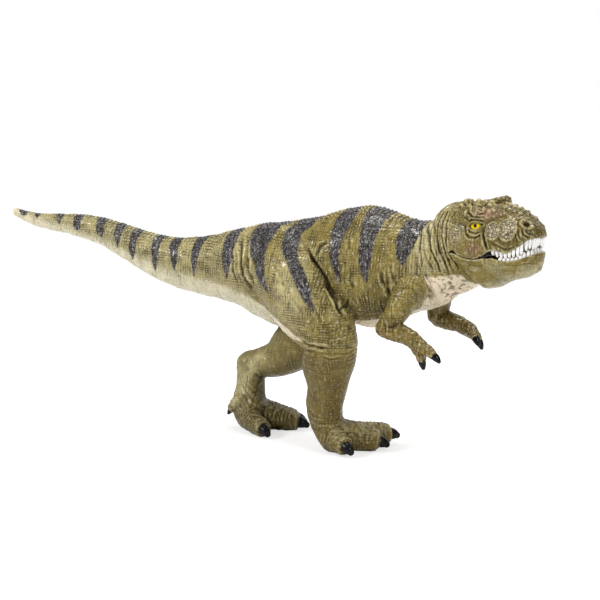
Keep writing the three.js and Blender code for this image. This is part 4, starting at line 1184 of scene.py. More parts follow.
# Knobs of the skull: place and radii
KNOBS = [
    ((2.7, -8.0, 23.8), (2.1, 2.1, 2.1)), ((7.9, -7.6, 23.8), (2.1, 2.1, 2.0)),
    ((3.6, -11.4, 21.6), (1.5, 1.5, 1.5)), ((8.2, -11.2, 21.8), (1.4, 1.4, 1.4)),
    ((6.7, -3.6, 23.3), (1.2, 1.2, 1.1)), ((7.8, -1.4, 23.4), (1.2, 1.2, 1.1)),
    ((9.8, -0.7, 23.3), (1.2, 1.2, 1.1)), ((0.6, -10.4, 22.4), (1.4, 1.6, 1.3)),
    ((12.4, -10.8, 21.4), (1.6, 1.4, 1.3)), ((14.6, -9.8, 21.0), (1.3, 1.3, 1.1)),
    ((12.0, -5.6, 23.0), (1.2, 1.3, 1.0)), ((16.2, -8.6, 21.4), (1.2, 1.2, 1.0)),
    ((17.0, 7.4, 21.6), (1.5, 1.5, 1.3)), ((18.6, 3.4, 22.6), (1.1, 1.2, 0.8)),
    ((21.0, 1.0, 22.3), (1.1, 1.2, 0.8)), ((23.4, 1.2, 21.9), (1.1, 1.2, 0.8)),
    ((25.6, 1.6, 21.2), (1.0, 1.2, 0.8)), ((27.6, 1.6, 20.2), (1.0, 1.2, 0.8)),
    ((29.5, 1.4, 18.9), (0.9, 1.2, 0.8)), ((31.4, 1.2, 17.4), (0.9, 1.2, 0.7)),
    ((18.6, -3.0, 22.5), (1.1, 1.1, 0.8)), ((21.2, -3.6, 22.0), (1.0, 1.1, 0.8)),
    ((23.8, -3.6, 21.2), (1.0, 1.1, 0.8)), ((26.2, -3.2, 20.2), (0.9, 1.1, 0.7)),
    ((21.6, 5.6, 21.4), (1.1, 1.2, 0.9)), ((25.0, 5.2, 20.3), (1.0, 1.2, 0.9)),
]

# Folds of the head, for both sides: points along and up, half width, depth
FACE_FOLDS = [
    ([(-5, 22), (-7.7, 19.5), (-8.4, 15), (-7.9, 8.8), (-6, 2.6), (-4.3, -3.4), (-3, -8)], 0.4, 0.8),
    ([(-7.5, 22), (-10.2, 18), (-11.8, 13), (-10.7, 8.5), (-8.9, 2.3), (-6.3, -4), (-5, -9)],
     0.45, 0.8),
    ([(-4.6, 21.8), (-5.9, 17.7), (-5.6, 12.0), (-5.1, 7.0), (-4.4, 2.8)], 0.35, 0.5),
    ([(-11.5, 22), (-14, 17), (-14.8, 12), (-14, 6), (-11.6, 0), (-9, -5), (-7.6, -10)],
     0.45, 0.8),
    ([(-15.0, 20), (-17.4, 14), (-17.4, 7), (-15.6, 1), (-12.8, -5), (-10.6, -10)], 0.5, 0.8),
    ([(-9.6, 14), (-9.2, 8), (-7.4, 1), (-5.4, -5)], 0.35, 0.5),
    ([(4.6, 14.6), (5.0, 11.6), (7.2, 9.6), (10.4, 9.4), (13.0, 11.2)], 0.4, 0.6),
    ([(5.8, 14.2), (6.9, 12.0), (9.8, 11.2), (12.4, 12.5)], 0.35, 0.55),
    ([(7.0, 22.0), (7.4, 20.2), (9.4, 18.5), (13.0, 18.8)], 0.4, 0.6),
    ([(4.4, 21.4), (4.6, 18.8), (6.6, 17.3), (9.4, 17.6)], 0.4, 0.55),
    ([(10.2, 21.2), (11.6, 19.9), (14.0, 20.2)], 0.35, 0.5),
    ([(6.1, 16.1), (8.9, 17.4), (11.7, 17.4), (13.9, 16.7)], 0.4, 0.8),
    ([(13.6, 12.6), (14.2, 9.4), (14.9, 7.4), (16.4, 4.6)], 0.5, 0.9),
    ([(30.3, 14.7), (31.8, 12.4), (33.9, 11.0)], 0.35, 0.5),
    ([(29.4, 14.2), (30.0, 11.9), (31.2, 10.0)], 0.35, 0.5),
    ([(28.7, 13.0), (29.0, 11.0), (29.8, 9.4)], 0.3, 0.35),
    ([(32.2, 14.2), (33.6, 12.8), (35.0, 12.4)], 0.3, 0.35),
    ([(0.8, 21.0), (-1.4, 19.4), (-4.2, 16.9), (-2.3, 14.7), (0.5, 16.0)], 0.3, 0.3),
    ([(17.6, 8.0), (21.1, 6.6), (25.4, 5.4), (29, 7.4)], 0.45, 0.35),
]

# Pale cracked patches on the cheeks: centre and radii, along and up
PATCHES = [((17.9, 13.1), (3.05, 3.6)), ((24.5, 14.0), (3.7, 4.4))]
NOSTRIL = np.array([31.5, 16.5])
ALMOND = np.array([9.75, 14.85])


def almond(spots):
    """How far out of the eye's opening in millimetres, about: its half height is
    1.2 (1 - t)^0.9 (1 + t)^0.6 from corner to corner, and it rises to the front by 0.55 t."""
    along = (spots[:, 0] - ALMOND[0]) / 2.95
    rise = spots[:, 1] - ALMOND[1] - 0.55 * along
    tall = 1.2 * np.clip(1 - along, 0, 2) ** 0.9 * np.clip(1 + along, 0, 2) ** 0.6
    return np.maximum(np.abs(rise) - tall, 1.9 * (np.abs(along) - 1))


def slit(spots):
    """How far out of the nostril: 1 on an ellipse that leans forwards and down."""
    shift = spots - NOSTRIL
    along, across = shift @ [0.84, -0.54], shift @ [0.54, 0.84]
    return np.hypot(along / 1.6, across / 0.75)


def on_cheek(points):
    """1 on both cheeks and 0 along the middle of the head."""
    return step(np.abs(points[:, 1]), 4, 7)


def on_neck(points):
    """1 on the neck and 0 on the skull, smooth between them."""
    return step(points[:, 0], -9, -17)


def face_folds(points):
    """Height of the folds of the head, which wander a little, on both cheeks."""
    side = swirled(points, 3.0, 1.0, 81)[:, [0, 2]]
    return sum(crease(side, *one) for one in FACE_FOLDS) * on_cheek(points)


def head_relief(points):
    """Height of the head's skin: folds, the rims of the scaly patches, the eye's lids, the
    nostril's ring, pebbles on brow and snout, and fine wrinkles."""
    side = points[:, [0, 2]]
    cheek = on_cheek(points)
    height = face_folds(points)
    for centre, radii in PATCHES:
        out = lobe(side, centre, radii)
        height += cheek * (0.4 * hump(out, 1.06, 0.10) - 0.1 * step(out, 0.98, 0.8))
    lids = almond(side)
    height += cheek * (0.55 * hump(lids, 0.6, 0.4) - 1.5 * step(-lids, -0.12, 0.3))
    hole = slit(side)
    height += step(np.abs(points[:, 1]), 2.5, 4) * (
        0.45 * hump(hole, 1.7, 0.5) - 1.4 * step(hole, 1.1, 0.4))
    bent = swirled(points, 5, 2.4, 31)
    behind = step(points[:, 0], -2, -7)
    height -= 0.4 * behind * wrinkles(bent, (1.5, 8, 11), 34, 0.22)
    height -= 0.24 * wrinkles(bent, (1.9, 1.9, 1.9), 35, 0.16)
    height += 0.24 * (noise(points, 1.3, 46) - 0.5)
    height -= 0.3 * patch(side, (9.6, 4.4), (4.2, 4.2)) * wrinkles(bent, (1.1, 3, 6), 38, 0.25)
    bony = step(points[:, 2], 15, 19) * step(points[:, 0], -3, 2)
    pebbles = bony * step(noise(points, 1.9, 37), 0.45, 0.75)
    height += (0.5 - 0.25 * step(points[:, 0], 12, 18)) * pebbles
    return height + 0.3 * (noise(points, 2.6, 36) - 0.5)


def in_figure(points, normals):
    """Places and directions of the head in the figure's place."""
    return to_figure(points), turned(normals, HEAD_TURN, 2)


class FIGURE_OT_head(bpy.types.Operator):
    """The skull with the neck, brows, horns and knobs"""
    bl_idname = "figure.head"
    bl_label = "Head"

    def execute(self, context):
        sizes, colours = context.scene.figure_sizes, context.scene.figure_colours
        material = skin_paint("Head skin", colours, sizes, 0.5, 0.5, 0.9)
        rows = smooth_rows(SKULL, 90)
        shape = rows.copy()
        shape[:, 2] -= LIP_ROLL
        bite = rows[rows[:, 0] > HEAD * -0.035]
        skull = carved(closed(egg(shape, 0.34, 2.5, 120)), [closed(lip_block(bite, 2, 0, -1))])
        shapes = [closed(to_head(trunk_part(NECK_SEAM[0] - 22))), skull,
                  closed(limb(smooth_rows(RIDGE, 24), 24))]
        for sign, side in SIDES:
            brow = smooth_rows(BROW * [1, sign, 1, 1, 1], 30)
            shapes.append(closed(limb(brow, 24)))
            shapes.append(closed(limb(smooth_rows(HORNS[side], 12), 24, axis=(1, 0, 0))))
        shapes += [closed(ball(np.array(centre), radii)) for centre, radii in KNOBS]
        points, triangles, normals = skinned(shapes, sizes.head_cell, 3)
        neck = on_neck(points)
        height = (1 - neck) * head_relief(points)
        height += neck * skin_relief(*in_figure(points, normals))
        points = lifted(points, normals, height, sizes)

        seam, ahead = to_head(NECK_SEAM), turned(NECK_FORWARD, -HEAD_TURN, 2)
        jaw, faces = carved(jaw_outer(JAW_ROOM), [jaw_trough(JAW_ROOM)])
        sweep = [(turned(jaw, OPENING * turn / 4, 1), faces) for turn in range(5)]
        cuts = [seam_cut(seam, ahead, *BODY_CUT), *sweep]
        points, triangles = carved((points, triangles), cuts)
        masks = head_masks(points, normals_of(points, triangles))
        free = clear_of(points, [(seam, ahead)])
        masks = brushed(points, triangles, sizes.head_cell, masks, free)
        finished("head_skin", "head", head_part((points, triangles)), material, "figure",
                 masks, sharp=60)
        return {"FINISHED"}


def head_masks(points, normals):
    """Masks of the head: pale cracked patches on the cheeks, rosy brow and cheek, grey scales
    behind the eye, a dark nostril and horn tip, a maroon mouth. The neck takes the trunk's."""
    side = points[:, [0, 2]]
    along, aside, up = points[:, 0], np.abs(points[:, 1]), points[:, 2]
    cheek = on_cheek(points)
    masks = skin_masks(*in_figure(points, normals))
    for key in masks.keys() - {"pink"}:
        masks[key] = masks[key] * on_neck(points)

    outs = [lobe(side, centre, radii) for centre, radii in PATCHES]
    scales = patch(side, (-0.8, 11.5), (4.4, 6.4), 0.8) * step(noise(points, 2.2, 45), 0.35, 0.55)
    scaly = strongest(scales * (almond(side) > 1.5), *(step(out, 1.03, 0.93) for out in outs))
    rims = strongest(*(hump(out, 1.05, 0.08) for out in outs))
    # Painted shade in the recess between the eye and the front patch, in the shade and in the groove
    # masks
    recess = patch(side, (13.8, 13.0), (1.5, 3.6)) * cheek
    rosy = np.maximum(0.75 * patch(side, (9.6, 4.4), (3.4, 3.4)),
                      0.9 * patch(side, (14.0, 20.2), (4.4, 2.4)))
    edge = np.interp(along, [-30, -20, -10, -4, 0, 3, 6], [-6, -9, -9.8, -8.4, -9.0, -12, -16])
    cream = step(edge + 1.6 * (noise(points, 3, 41) - 0.5) - up, -0.8, 1.0)
    speckle = step(noise(points, (1.4, 1.4, 1.1), 42), 0.62, 0.7) * cream * step(along, -14, -8)
    dark = strongest(0.95 * step(slit(side), 1.15, 0.6) * step(aside, 2.5, 4),
                     0.85 * hump(almond(side), 0.05, 0.3) * cheek,
                     np.clip(-0.5 * face_folds(points), 0, 0.45), 0.7 * speckle)
    tip = hump(np.linalg.norm(points - [9.6, 12.4, 25.0], axis=1), 0, 2.0)
    grey = 0.5 * patch(side, (-0.6, 11.0), (5.2, 4.6), 0.8)
    grey += 0.5 * step(along, -1, -8) * step(noise(points, 2.0, 43), 0.4, 0.6)
    pale = 0.8 * patch(side, (1.9, 8.4), (1.4, 2.2), 0.8) * step(noise(points, 0.9, 44), 0.5, 0.6)

    half = valued(SKULL, along, 3)
    palate = (normals[:, 2] < -0.75) & (up > -3) & (along > -2) & (aside < half - 1.2)
    under = (normals[:, 2] < -0.3) & (aside < half - 0.3) & (along > 9.5) & (along < 19) & (up < 4)
    corner = patch(side, (16.6, 1.6), (3.2, 2.8), 0.7) * step(-up, -4.2, -3.2)
    # Painted shade on the snout, its front and over the brow, and in the recess; darker on the top
    # of the head
    shade = masks["shade"] + 0.75 * step(along, 11, 18)
    shade += 0.55 * step(along, 30, 36) + 0.45 * step(up, 18, 21)
    shade = np.maximum(shade, 0.9 * recess) + 0.4 * patch(side, (14.0, 20.2), (5.5, 3.0))
    masks.update(
        scaly=scaly * cheek, rosy=rosy * cheek, grey=grey * cheek, shade=shade,
        cream=np.maximum(cream, masks["cream"]), maroon=np.maximum(palate | under, corner),
        groove=np.clip(masks["groove"] + dark + tip + 0.55 * recess, 0, 1),
        raised=np.maximum(masks["raised"], np.maximum(rims, pale) * cheek),
        gloss=strongest(masks["gloss"], tip, 0.5 * cheek * step(along, 14, 20)),
        brown=masks["brown"] + 0.85 * step(along, 15, 24))
    return masks


def jaw_relief(points):
    """Height of the jaw's skin: wrinkles along and across it and a soft swell, low at its rear."""
    bent = swirled(points, 5, 2.4, 51)
    height = -0.22 * wrinkles(bent, (6, 6, 2.4), 54, 0.16)
    height += 0.4 * (noise(points, 3.2, 56) - 0.5) - 0.14 * wrinkles(bent, 2.0, 55, 0.18)
    return height * (step(points[:, 0], 6, 14) * 0.8 + 0.2)


def jaw_masks(points, normals):
    """Masks of the jaw: a maroon inside, grey clouds, and cream along its lower edge."""
    along, aside, up = points[:, 0], np.abs(points[:, 1]), points[:, 2]
    inner = (aside < valued(JAW, along, 3) - 1.6) & (along < 33)
    inner &= (normals[:, 2] > -0.2) & (normals[:, 0] > -0.5)
    floor = valued(JAW, along, 2)
    low = step(up, floor + 5, floor + 1)
    cloudy = step(noise(points, (5, 5, 2.2), 57), 0.45, 0.65)
    return {"maroon": 1.0 * inner, "grey": 0.45 * cloudy + 0.3 * low,
            "cream": 0.3 * low * cloudy, "brown": 0.3 * step(along, 24, 32)}


class FIGURE_OT_jaw(bpy.types.Operator):
    """The lower jaw"""
    bl_idname = "figure.jaw"
    bl_label = "Lower jaw"

    def execute(self, context):
        sizes, colours = context.scene.figure_sizes, context.scene.figure_colours
        material = skin_paint("Jaw skin", colours, sizes, 0.45, 0.4)
        body = carved(jaw_outer(0), [jaw_trough(0)])
        points, triangles, normals = skinned([body], sizes.jaw_cell, 3)
        points = lifted(points, normals, jaw_relief(points), sizes)
        masks = brushed(points, triangles, sizes.jaw_cell, jaw_masks(points, normals))
        finished("lower_jaw_skin", "lower_jaw", head_part((points, triangles)), material,
                 "jaw", masks)
        return {"FINISHED"}


def tooth_arch(rows, column, ends):
    """Places of the teeth from the right rear round the front: points a pitch apart on the lip's
    outline, set in by the gum, with the way along and the way in."""
    share = np.sin(np.pi / 2 * np.linspace(0, 1, 200))
    along = HEAD * (ends[0] + (ends[1] - ends[0]) * share)
    half = valued(rows, along, 3)
    line = np.stack([along, -half], -1)
    line = np.concatenate([line, (line * [1, -1])[-2::-1]])
    run = np.concatenate([[0], np.cumsum(np.linalg.norm(np.diff(line, axis=0), axis=1))])

    def at(spots):
        return np.stack([np.interp(spots, run, column) for column in line.T], -1)

    spots = np.linspace(0, run[-1], 2 * round(run[-1] / TOOTH_PITCH / 2))
    way = at(spots + 0.4) - at(spots - 0.4)
    way /= np.linalg.norm(way, axis=1)[:, None]
    inward = np.stack([-way[:, 1], way[:, 0]], -1)
    place = at(spots) + inward * GUM
    return place, way, inward, valued(rows, place[:, 0], column)


def tooth(place, way, inward, base, length, wide):
    """A blunt cone, wide along the row: its half size falls as sqrt(1 - 0.8 s^2) over its
    length, and its tip leans a little inwards."""
    s = np.concatenate([[-0.35], np.linspace(0, 0.96, 10), [1.0]])[:, None]
    shrink = np.sqrt(np.clip(1 - 0.8 * np.clip(s, 0, 1) ** 2.2, 0, 1)) * np.where(s > 0.99, 0.45, 1)
    angle = np.linspace(0, 2 * np.pi, 14, endpoint=False)
    along = wide * shrink * np.cos(angle)
    across = 1.1 * shrink * np.sin(angle) + 0.5 * s ** 2
    x = place[0] + along * way[0] + across * inward[0]
    y = place[1] + along * way[1] + across * inward[1]
    return np.stack([x, y, base + length * s + 0 * angle], -1)


def tooth_row(rows, column, ends, lengths, sign):
    """A row of teeth up or down from a lip: their length is a share of the room between the lips,
    from the rear to the front, and varies by sin(2.4 n)^2."""
    place, way, inward, base = tooth_arch(rows, column, ends)
    share = np.clip((place[:, 0] / HEAD - ends[0]) / (ends[1] - ends[0]), 0, 1)
    space = valued(SKULL, place[:, 0], 2) - valued(JAW, place[:, 0], 1)
    length = np.clip(space * (lengths[0] + (lengths[1] - lengths[0]) * share), 1.0, None)
    shapes = []
    for index in range(len(place)):
        vary = 0.85 + 0.3 * math.sin(2.4 * index) ** 2
        grid = tooth(place[index], way[index], inward[index], base[index],
                     sign * min(length[index] * vary, space[index] - 0.45), 0.84)
        shapes.append(closed(grid if sign > 0 else grid[:, ::-1]))
    return joined(shapes)


class FIGURE_OT_teeth(bpy.types.Operator):
    """Both rows of teeth"""
    bl_idname = "figure.teeth"
    bl_label = "Teeth"

    def execute(self, context):
        colours = context.scene.figure_colours
        material, tree, surface = shader("White teeth")
        grain = cloud(tree, place_on(tree, (1, 1, 0.3)), 1400, 2)
        colour = mixed(tree, between(tree, grain, 0.4, 0.75, 0, 0.35), colours.tooth,
                       colours.tooth_shade)
        plain_finish(tree, surface, colour, cloud(tree, place_on(tree), 700), (0.25, 0.4), grain,
                     0.00006)
        upper = tooth_row(SKULL, 2, (0.33, 0.676), (0.85, 0.6), -1)
        lower = tooth_row(JAW, 1, (0.39, 0.65), (0.36, 0.4), 1)
        for row, level, body in ((upper, "upper", "figure"), (lower, "lower", "jaw")):
            finished(f"{level}_tooth_row", f"{level}_teeth", head_part(row), material,
                     body, sharp=50)
        return {"FINISHED"}


class FIGURE_OT_tongue(bpy.types.Operator):
    """The tongue"""
    bl_idname = "figure.tongue"
    bl_label = "Tongue"

    def execute(self, context):
        colours = context.scene.figure_colours
        material, tree, surface = shader("Tongue vinyl")
        spot = place_on(tree)
        blotch = cloud(tree, spot, 300, 3)
        colour = mixed(tree, between(tree, blotch, 0.35, 0.7), colours.tongue, colours.tongue_dark)
        plain_finish(tree, surface, colour, blotch, (0.3, 0.45), cells(tree, spot, 900), 0.0001)
        rows = np.array([
            [0.20, -0.080, -0.256, 0.150], [0.28, 0.010, -0.244, 0.210],
            [0.38, 0.060, -0.190, 0.220], [0.47, 0.095, -0.150, 0.200],
            [0.54, 0.120, -0.110, 0.150], [0.58, 0.105, -0.070, 0.080],
        ]) * [HEAD, HEAD_TALL, HEAD_TALL, HEAD_WIDE]
        rows = smooth_rows(rows, 40)
        rows[:, 2] = np.maximum(rows[:, 2], valued(JAW, rows[:, 0], 2) + JAW_FLOOR + 0.5)
        rows[:, 2] = np.minimum(rows[:, 2], rows[:, 1] - 1)
        grid = egg(rows, 0.5, 2.4, 48)
        furrow = 0.8 * hump(grid[..., 1], 0, 0.9) * (grid[..., 2] > rows[:, None, 2] + 1)
        grid[..., 2] -= furrow
        finished("tongue_slab", "tongue", head_part(closed(grid)), material, "jaw")
        return {"FINISHED"}


class FIGURE_OT_eyes(bpy.types.Operator):
    """Both eyes, with iris and pupil painted on"""
    bl_idname = "figure.eyes"
    bl_label = "Eyes"

    def execute(self, context):
        colours = context.scene.figure_colours
        material, tree, surface = shader("Painted eye")
        fleck = cloud(tree, place_on(tree), 1500, 2)
        colour = layered(tree, colours.iris,
                         (between(tree, fleck, 0.4, 0.7, 0, 0.4), colours.iris_deep),
                         (painted(tree, "corner"), colours.eye_corner),
                         (painted(tree, "pupil"), colours.pupil))
        plain_finish(tree, surface, colour, fleck, (0.5, 0.65), fleck, 0.00002)
        surface.inputs["Specular IOR Level"].default_value = 0.15
        for sign, side in SIDES:
            shape = closed(ball(EYE * [1, sign, 1], (3.0, 2.5, 2.3), 64))
            away = shape[0][:, [0, 2]] - ALMOND
            masks = {"pupil": step(np.hypot(*away.T), 0.95, 0.75),
                     "corner": step(away[:, 0], 1.3, 2.2)}
            finished(f"{side}_eye_ball", f"{side}_eye", head_part(shape), material,
                     "figure", masks)
        return {"FINISHED"}


# Legs, arms and claws

def toe_path(side, toe):
    """Rows of a toe made millimetres, from the ankle's place on the floor."""
    places, radii = TOES[side][toe]
    ankle = leg_point((RIGHT_LEG if side == "right" else LEFT_FOOT)[-1])
    places = np.asarray(places) * [TOE, -TOE, TOE] + [ankle[0], ankle[1], 0]
    radii = np.asarray(radii)[:, None] * TOE
    return np.concatenate([places, radii, radii], 1)


def arm_path(sign, side, part):
    """Rows of a part of an arm or hand made millimetres, from the shoulder. The sign is the way
    out along Y."""
    rows = np.asarray(ARMS[side][part]) * [ARM, sign * ARM, ARM, ARM, ARM]
    rows[:, :3] += SHOULDER * [1, sign, 1]
    return rows


def claw_root(rows):
    """Where the claw of a toe or finger starts, 0.55 of the radius past its last place, and the
    way it points."""
    way = rows[2, :3] - rows[1, :3]
    way /= np.linalg.norm(way)
    return rows[2, :3] + way * rows[2, 3] * 0.55, way


class FIGURE_OT_legs(bpy.types.Operator):
    """Both lower legs with their feet"""
    bl_idname = "figure.legs"
    bl_label = "Lower legs"

    def execute(self, context):
        sizes, colours = context.scene.figure_sizes, context.scene.figure_colours
        material = skin_paint("Leg skin", colours, sizes, 0.6, 0.3, 0.7)
        cell = sizes.leg_cell
        for side, knee in (("right", RIGHT_KNEE), ("left", LEFT_KNEE)):
            point, up = knee_plane(knee)
            grids = [grid[grid[:, :, 2].min(1) < point[2] + 8] for grid in leg_grids(side)]
            grids += [limb(smooth_rows(toe_path(side, toe), 16), 40) for toe in TOES[side]]
            points, triangles, normals = skinned([closed(grid) for grid in grids], cell, 5)
            height = skin_relief(points, normals)
            height += sum(toe_relief(points, side, toe) for toe in TOES[side])
            points = lifted(points, normals, height, sizes)
            points[:, 2] = np.maximum(points[:, 2], 0)
            points, triangles = carved((points, triangles), [seam_cut(point, -up, *SHIN_CUT)])
            painted_skin(f"{side}_shin_and_foot", f"{side}_lower_leg", points, triangles, cell,
                         material)
        return {"FINISHED"}


def toe_relief(points, side, toe):
    """Height on a toe: a rim round the root of its claw, and scutes across its top a pitch
    apart."""
    end, way = claw_root(toe_path(side, toe))
    out = (points - end) @ way
    off = np.linalg.norm(points - end - out[:, None] * way, axis=1)
    near = step(off, 7.5, 6.0) * step(out, -16, -13) * step(out, 1.5, 0.5)
    rim = 0.35 * hump(out, 0.1, 0.7)
    scutes = 0.3 * np.abs(np.sin(np.pi * out / 1.9)) - 0.15
    return near * (rim + scutes * step(points[:, 2], 4, 7) * step(out, -0.8, -1.6))


def arm_masks(points, normals, side):
    """Masks of an arm: a brown, glossy forearm with shade on top in patches, pebbles on the hand.
    The left arm, in the body's shade, is darker."""
    fore = step(points[:, 2], 70, 63)
    dark = 0.5 if side == "left" else 0.0
    patchy = 0.5 + 0.5 * step(noise(points, (4, 4, 2.5), 68), 0.4, 0.6)
    return {"pebble": 0.7 * step(points[:, 2], 60, 55), "gloss": fore,
            "brown": np.maximum(0.95 * fore, dark), "grey": dark * (1 - fore),
            "shade": np.maximum(0.6 * dark, 0.8 * patchy * fore * step(normals[:, 2], 0, 0.6))}


class FIGURE_OT_arms(bpy.types.Operator):
    """Both arms"""
    bl_idname = "figure.arms"
    bl_label = "Arms"

    def execute(self, context):
        sizes, colours = context.scene.figure_sizes, context.scene.figure_colours
        material = skin_paint("Arm skin", colours, sizes, 0.65, 0.6, 0.75)
        chest = closed(trunk_part(CHEST_START, extra=0.3))
        for sign, side in SIDES:
            shapes = [closed(limb(smooth_rows(arm_path(sign, side, part), 30), 40))
                      for part in ("upper", "fore", "outer", "inner")]
            points, triangles, normals = skinned(shapes, sizes.arm_cell, 4)
            points = lifted(points, normals, arm_relief(points), sizes)
            points, triangles = carved((points, triangles), [chest])
            masks = arm_masks(points, normals_of(points, triangles), side)
            masks = brushed(points, triangles, sizes.arm_cell, masks)
            finished(f"{side}_arm_skin", f"{side}_arm", (points, triangles), material,
                     "figure", masks, sharp=60)
        return {"FINISHED"}


def arm_relief(points):
    """Height of an arm's skin: creases round the shoulder, deeper wrinkles over the elbow,
    wrinkles across the rest."""
    side = points[:, [0, 2]] - SHOULDER[[0, 2]]
    elbow = step(np.linalg.norm(side - np.array([-0.17, -0.33]) * ARM, axis=1), 5.5, 2.5)
    out = np.linalg.norm(side - [0.5, -1.0], axis=1)
    bent = swirled(points, 4, 2.2, 61)
    rings = hump(np.abs(out + noise(points, 3, 66) - 5.6) % 2.8, 1.4, 0.5) * step(out, 9.5, 8)
    height = -0.26 * wrinkles(bent, (1.8, 5, 5), 64, 0.16)
    height -= 0.18 * wrinkles(bent, (4, 5, 1.8), 67, 0.18)
    height -= 0.55 * elbow * wrinkles(bent, (1.6, 4, 4), 69, 0.22)
    return height - 0.16 * rings + 0.35 * (noise(points, 3, 65) - 0.5)


def claw_grid(at, way, length, radius, root):
    """A blunt curved claw: its middle line drops by 0.2 s^2 of its length, and its radius falls
    by sqrt(1 - 0.72 s^2) to a rounded tip."""
    s = np.linspace(0, 1, 16)[:, None]
    line = at + way * length * s
    line[:, 2] -= length * 0.2 * s[:, 0] ** 2
    size = radius * np.sqrt(1 - 0.72 * s ** 2)
    rows = np.concatenate([line, size, size], 1)
    start = np.concatenate([at - way * root, [radius * 0.8] * 2])[None]
    return limb(np.concatenate([start, rows]), 28, ends=(False, True))


class FIGURE_OT_claws(bpy.types.Operator):
    """All claws of the feet and hands"""
    bl_idname = "figure.claws"
    bl_label = "Claws"

    def execute(self, context):
        colours = context.scene.figure_colours
        material, tree, surface = shader("Black gloss claw")
        wear_and_highlight = cloud(tree, place_on(tree), 900, 3)
        colour = mixed(tree, between(tree, wear_and_highlight, 0.5, 0.75, 0, 0.5), colours.claw,
                       colours.claw_worn)
        plain_finish(tree, surface, colour, wear_and_highlight, (0.24, 0.4), wear_and_highlight, 0.00005)
        surface.inputs["Specular IOR Level"].default_value = 0.2
        grids = {}
        for sign, side in SIDES:
            for toe in TOES[side]:
                size = 0.5 if toe == "spur" else 1
                root = claw_root(toe_path(side, toe))
                grid = claw_grid(*root, 4.6 * size, 3.0 * size, 2.2)
                grid[..., 2] = np.maximum(grid[..., 2], 0.02)
                grids[f"{side}_foot_{toe}"] = grid
            for finger in ("outer", "inner"):
                root = claw_root(arm_path(sign, side, finger))
                grids[f"{side}_hand_{finger}"] = claw_grid(*root, 2.8, 1.8, 2.0)
        for name, grid in grids.items():
            finished(f"{name}_nail", f"{name}_claw", closed(grid), material, "figure")
        return {"FINISHED"}


class FIGURE_OT_pin(bpy.types.Operator):
    """The jaw's hinge pin, kept from the frame with a finish of its own"""
    bl_idname = "figure.pin"
    bl_label = "Hinge pin"

    def execute(self, context):
        material, tree, surface = shader("Drawn steel pin")
        drawn = cloud(tree, place_on(tree, (8, 1, 8)), 600, 2)
        colour = mixed(tree, drawn, paint(150, 150, 152), paint(178, 178, 180))
        plain_finish(tree, surface, colour, drawn, (0.25, 0.4), drawn, 0.00002)
        surface.inputs["Metallic"].default_value = 1
        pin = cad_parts["jaw_pin"]
        pin.data.materials.clear()
        pin.data.materials.append(material)
        return {"FINISHED"}


# Stage, in metres
AIM = Vector((0.0118, 0.0013, 0.056))
TO_CAMERA = Vector((0.4616, -0.8682, 0.1822))
SENSOR = 36
LENS = 127.44
SHIFT = (12.5 / 600, 18.5 / 600)
FLOOR_HALF = 6
LAMPS = (
    ("Left softbox", (-0.65, -0.85, 0.80), 0.28, 10.6),
    ("Right softbox", (0.95, -0.55, 0.70), 0.28, 6.4),
    ("Top softbox", (0.0, 0.1, 1.1), 0.45, 10.4),
    ("Rear softbox", (0.1, 1.0, 0.6), 0.8, 3.0),
)


def seen(tree):
    """1 for a ray that comes from the camera, also through glass, and 0 for light."""
    path = added(tree, "LightPath")
    return most(tree, path.outputs["Is Camera Ray"], path.outputs["Is Transmission Ray"])


def white_floor():
    """A floor that the camera sees as an even white with a soft shadow, and that fades out
    between 0.28 and 0.5 m from the figure."""
    mesh = bpy.data.meshes.new("floor")
    corners = [(x * FLOOR_HALF, y * FLOOR_HALF, 0) for x, y in ((-1, -1), (1, -1), (1, 1), (-1, 1))]
    mesh.from_pydata(corners, [], [(0, 1, 2, 3)])
    material, tree, surface = shader("White floor")
    fill(tree, surface, {"Base Color": (0.85, 0.85, 0.85), "Roughness": 0.9,
                         "Specular IOR Level": 0.1})
    glow = added(tree, "Emission", {"Strength": 0.66}).outputs[0]
    plain = added(tree, "BsdfDiffuse", {"Color": (0.42, 0.42, 0.42)}).outputs[0]
    both = added(tree, "AddShader", {0: glow, 1: plain}).outputs[0]
    spot = added(tree, "TexCoord").outputs["Object"]
    away = added(tree, "VectorMath", {0: spot}, operation="LENGTH").outputs["Value"]
    clear = added(tree, "BsdfTransparent").outputs[0]
    fade = added(tree, "MixShader", {0: between(tree, away, 0.28, 0.5), 1: both, 2: clear})
    pick = added(tree, "MixShader", {0: seen(tree), 1: surface.outputs[0], 2: fade.outputs[0]})
    output = next(node for node in tree.nodes if node.type == "OUTPUT_MATERIAL")
    fill(tree, output, {"Surface": pick.outputs[0]})
    mesh.materials.append(material)
    return bpy.data.objects.new("floor", mesh)


def white_room():
    """A world that is white to the camera and lights the figure at 0.15."""
    world = bpy.data.worlds.new("White room")
    world.use_nodes = True
    tree = world.node_tree
    tree.nodes.clear()
    strength = added(tree, "Mix", {0: seen(tree), 2: 0.15, 3: 1.0}).outputs[0]
    sky = added(tree, "Background", {"Color": (1, 1, 1), "Strength": strength})
    added(tree, "OutputWorld", {"Surface": sky.outputs[0]})
    return world


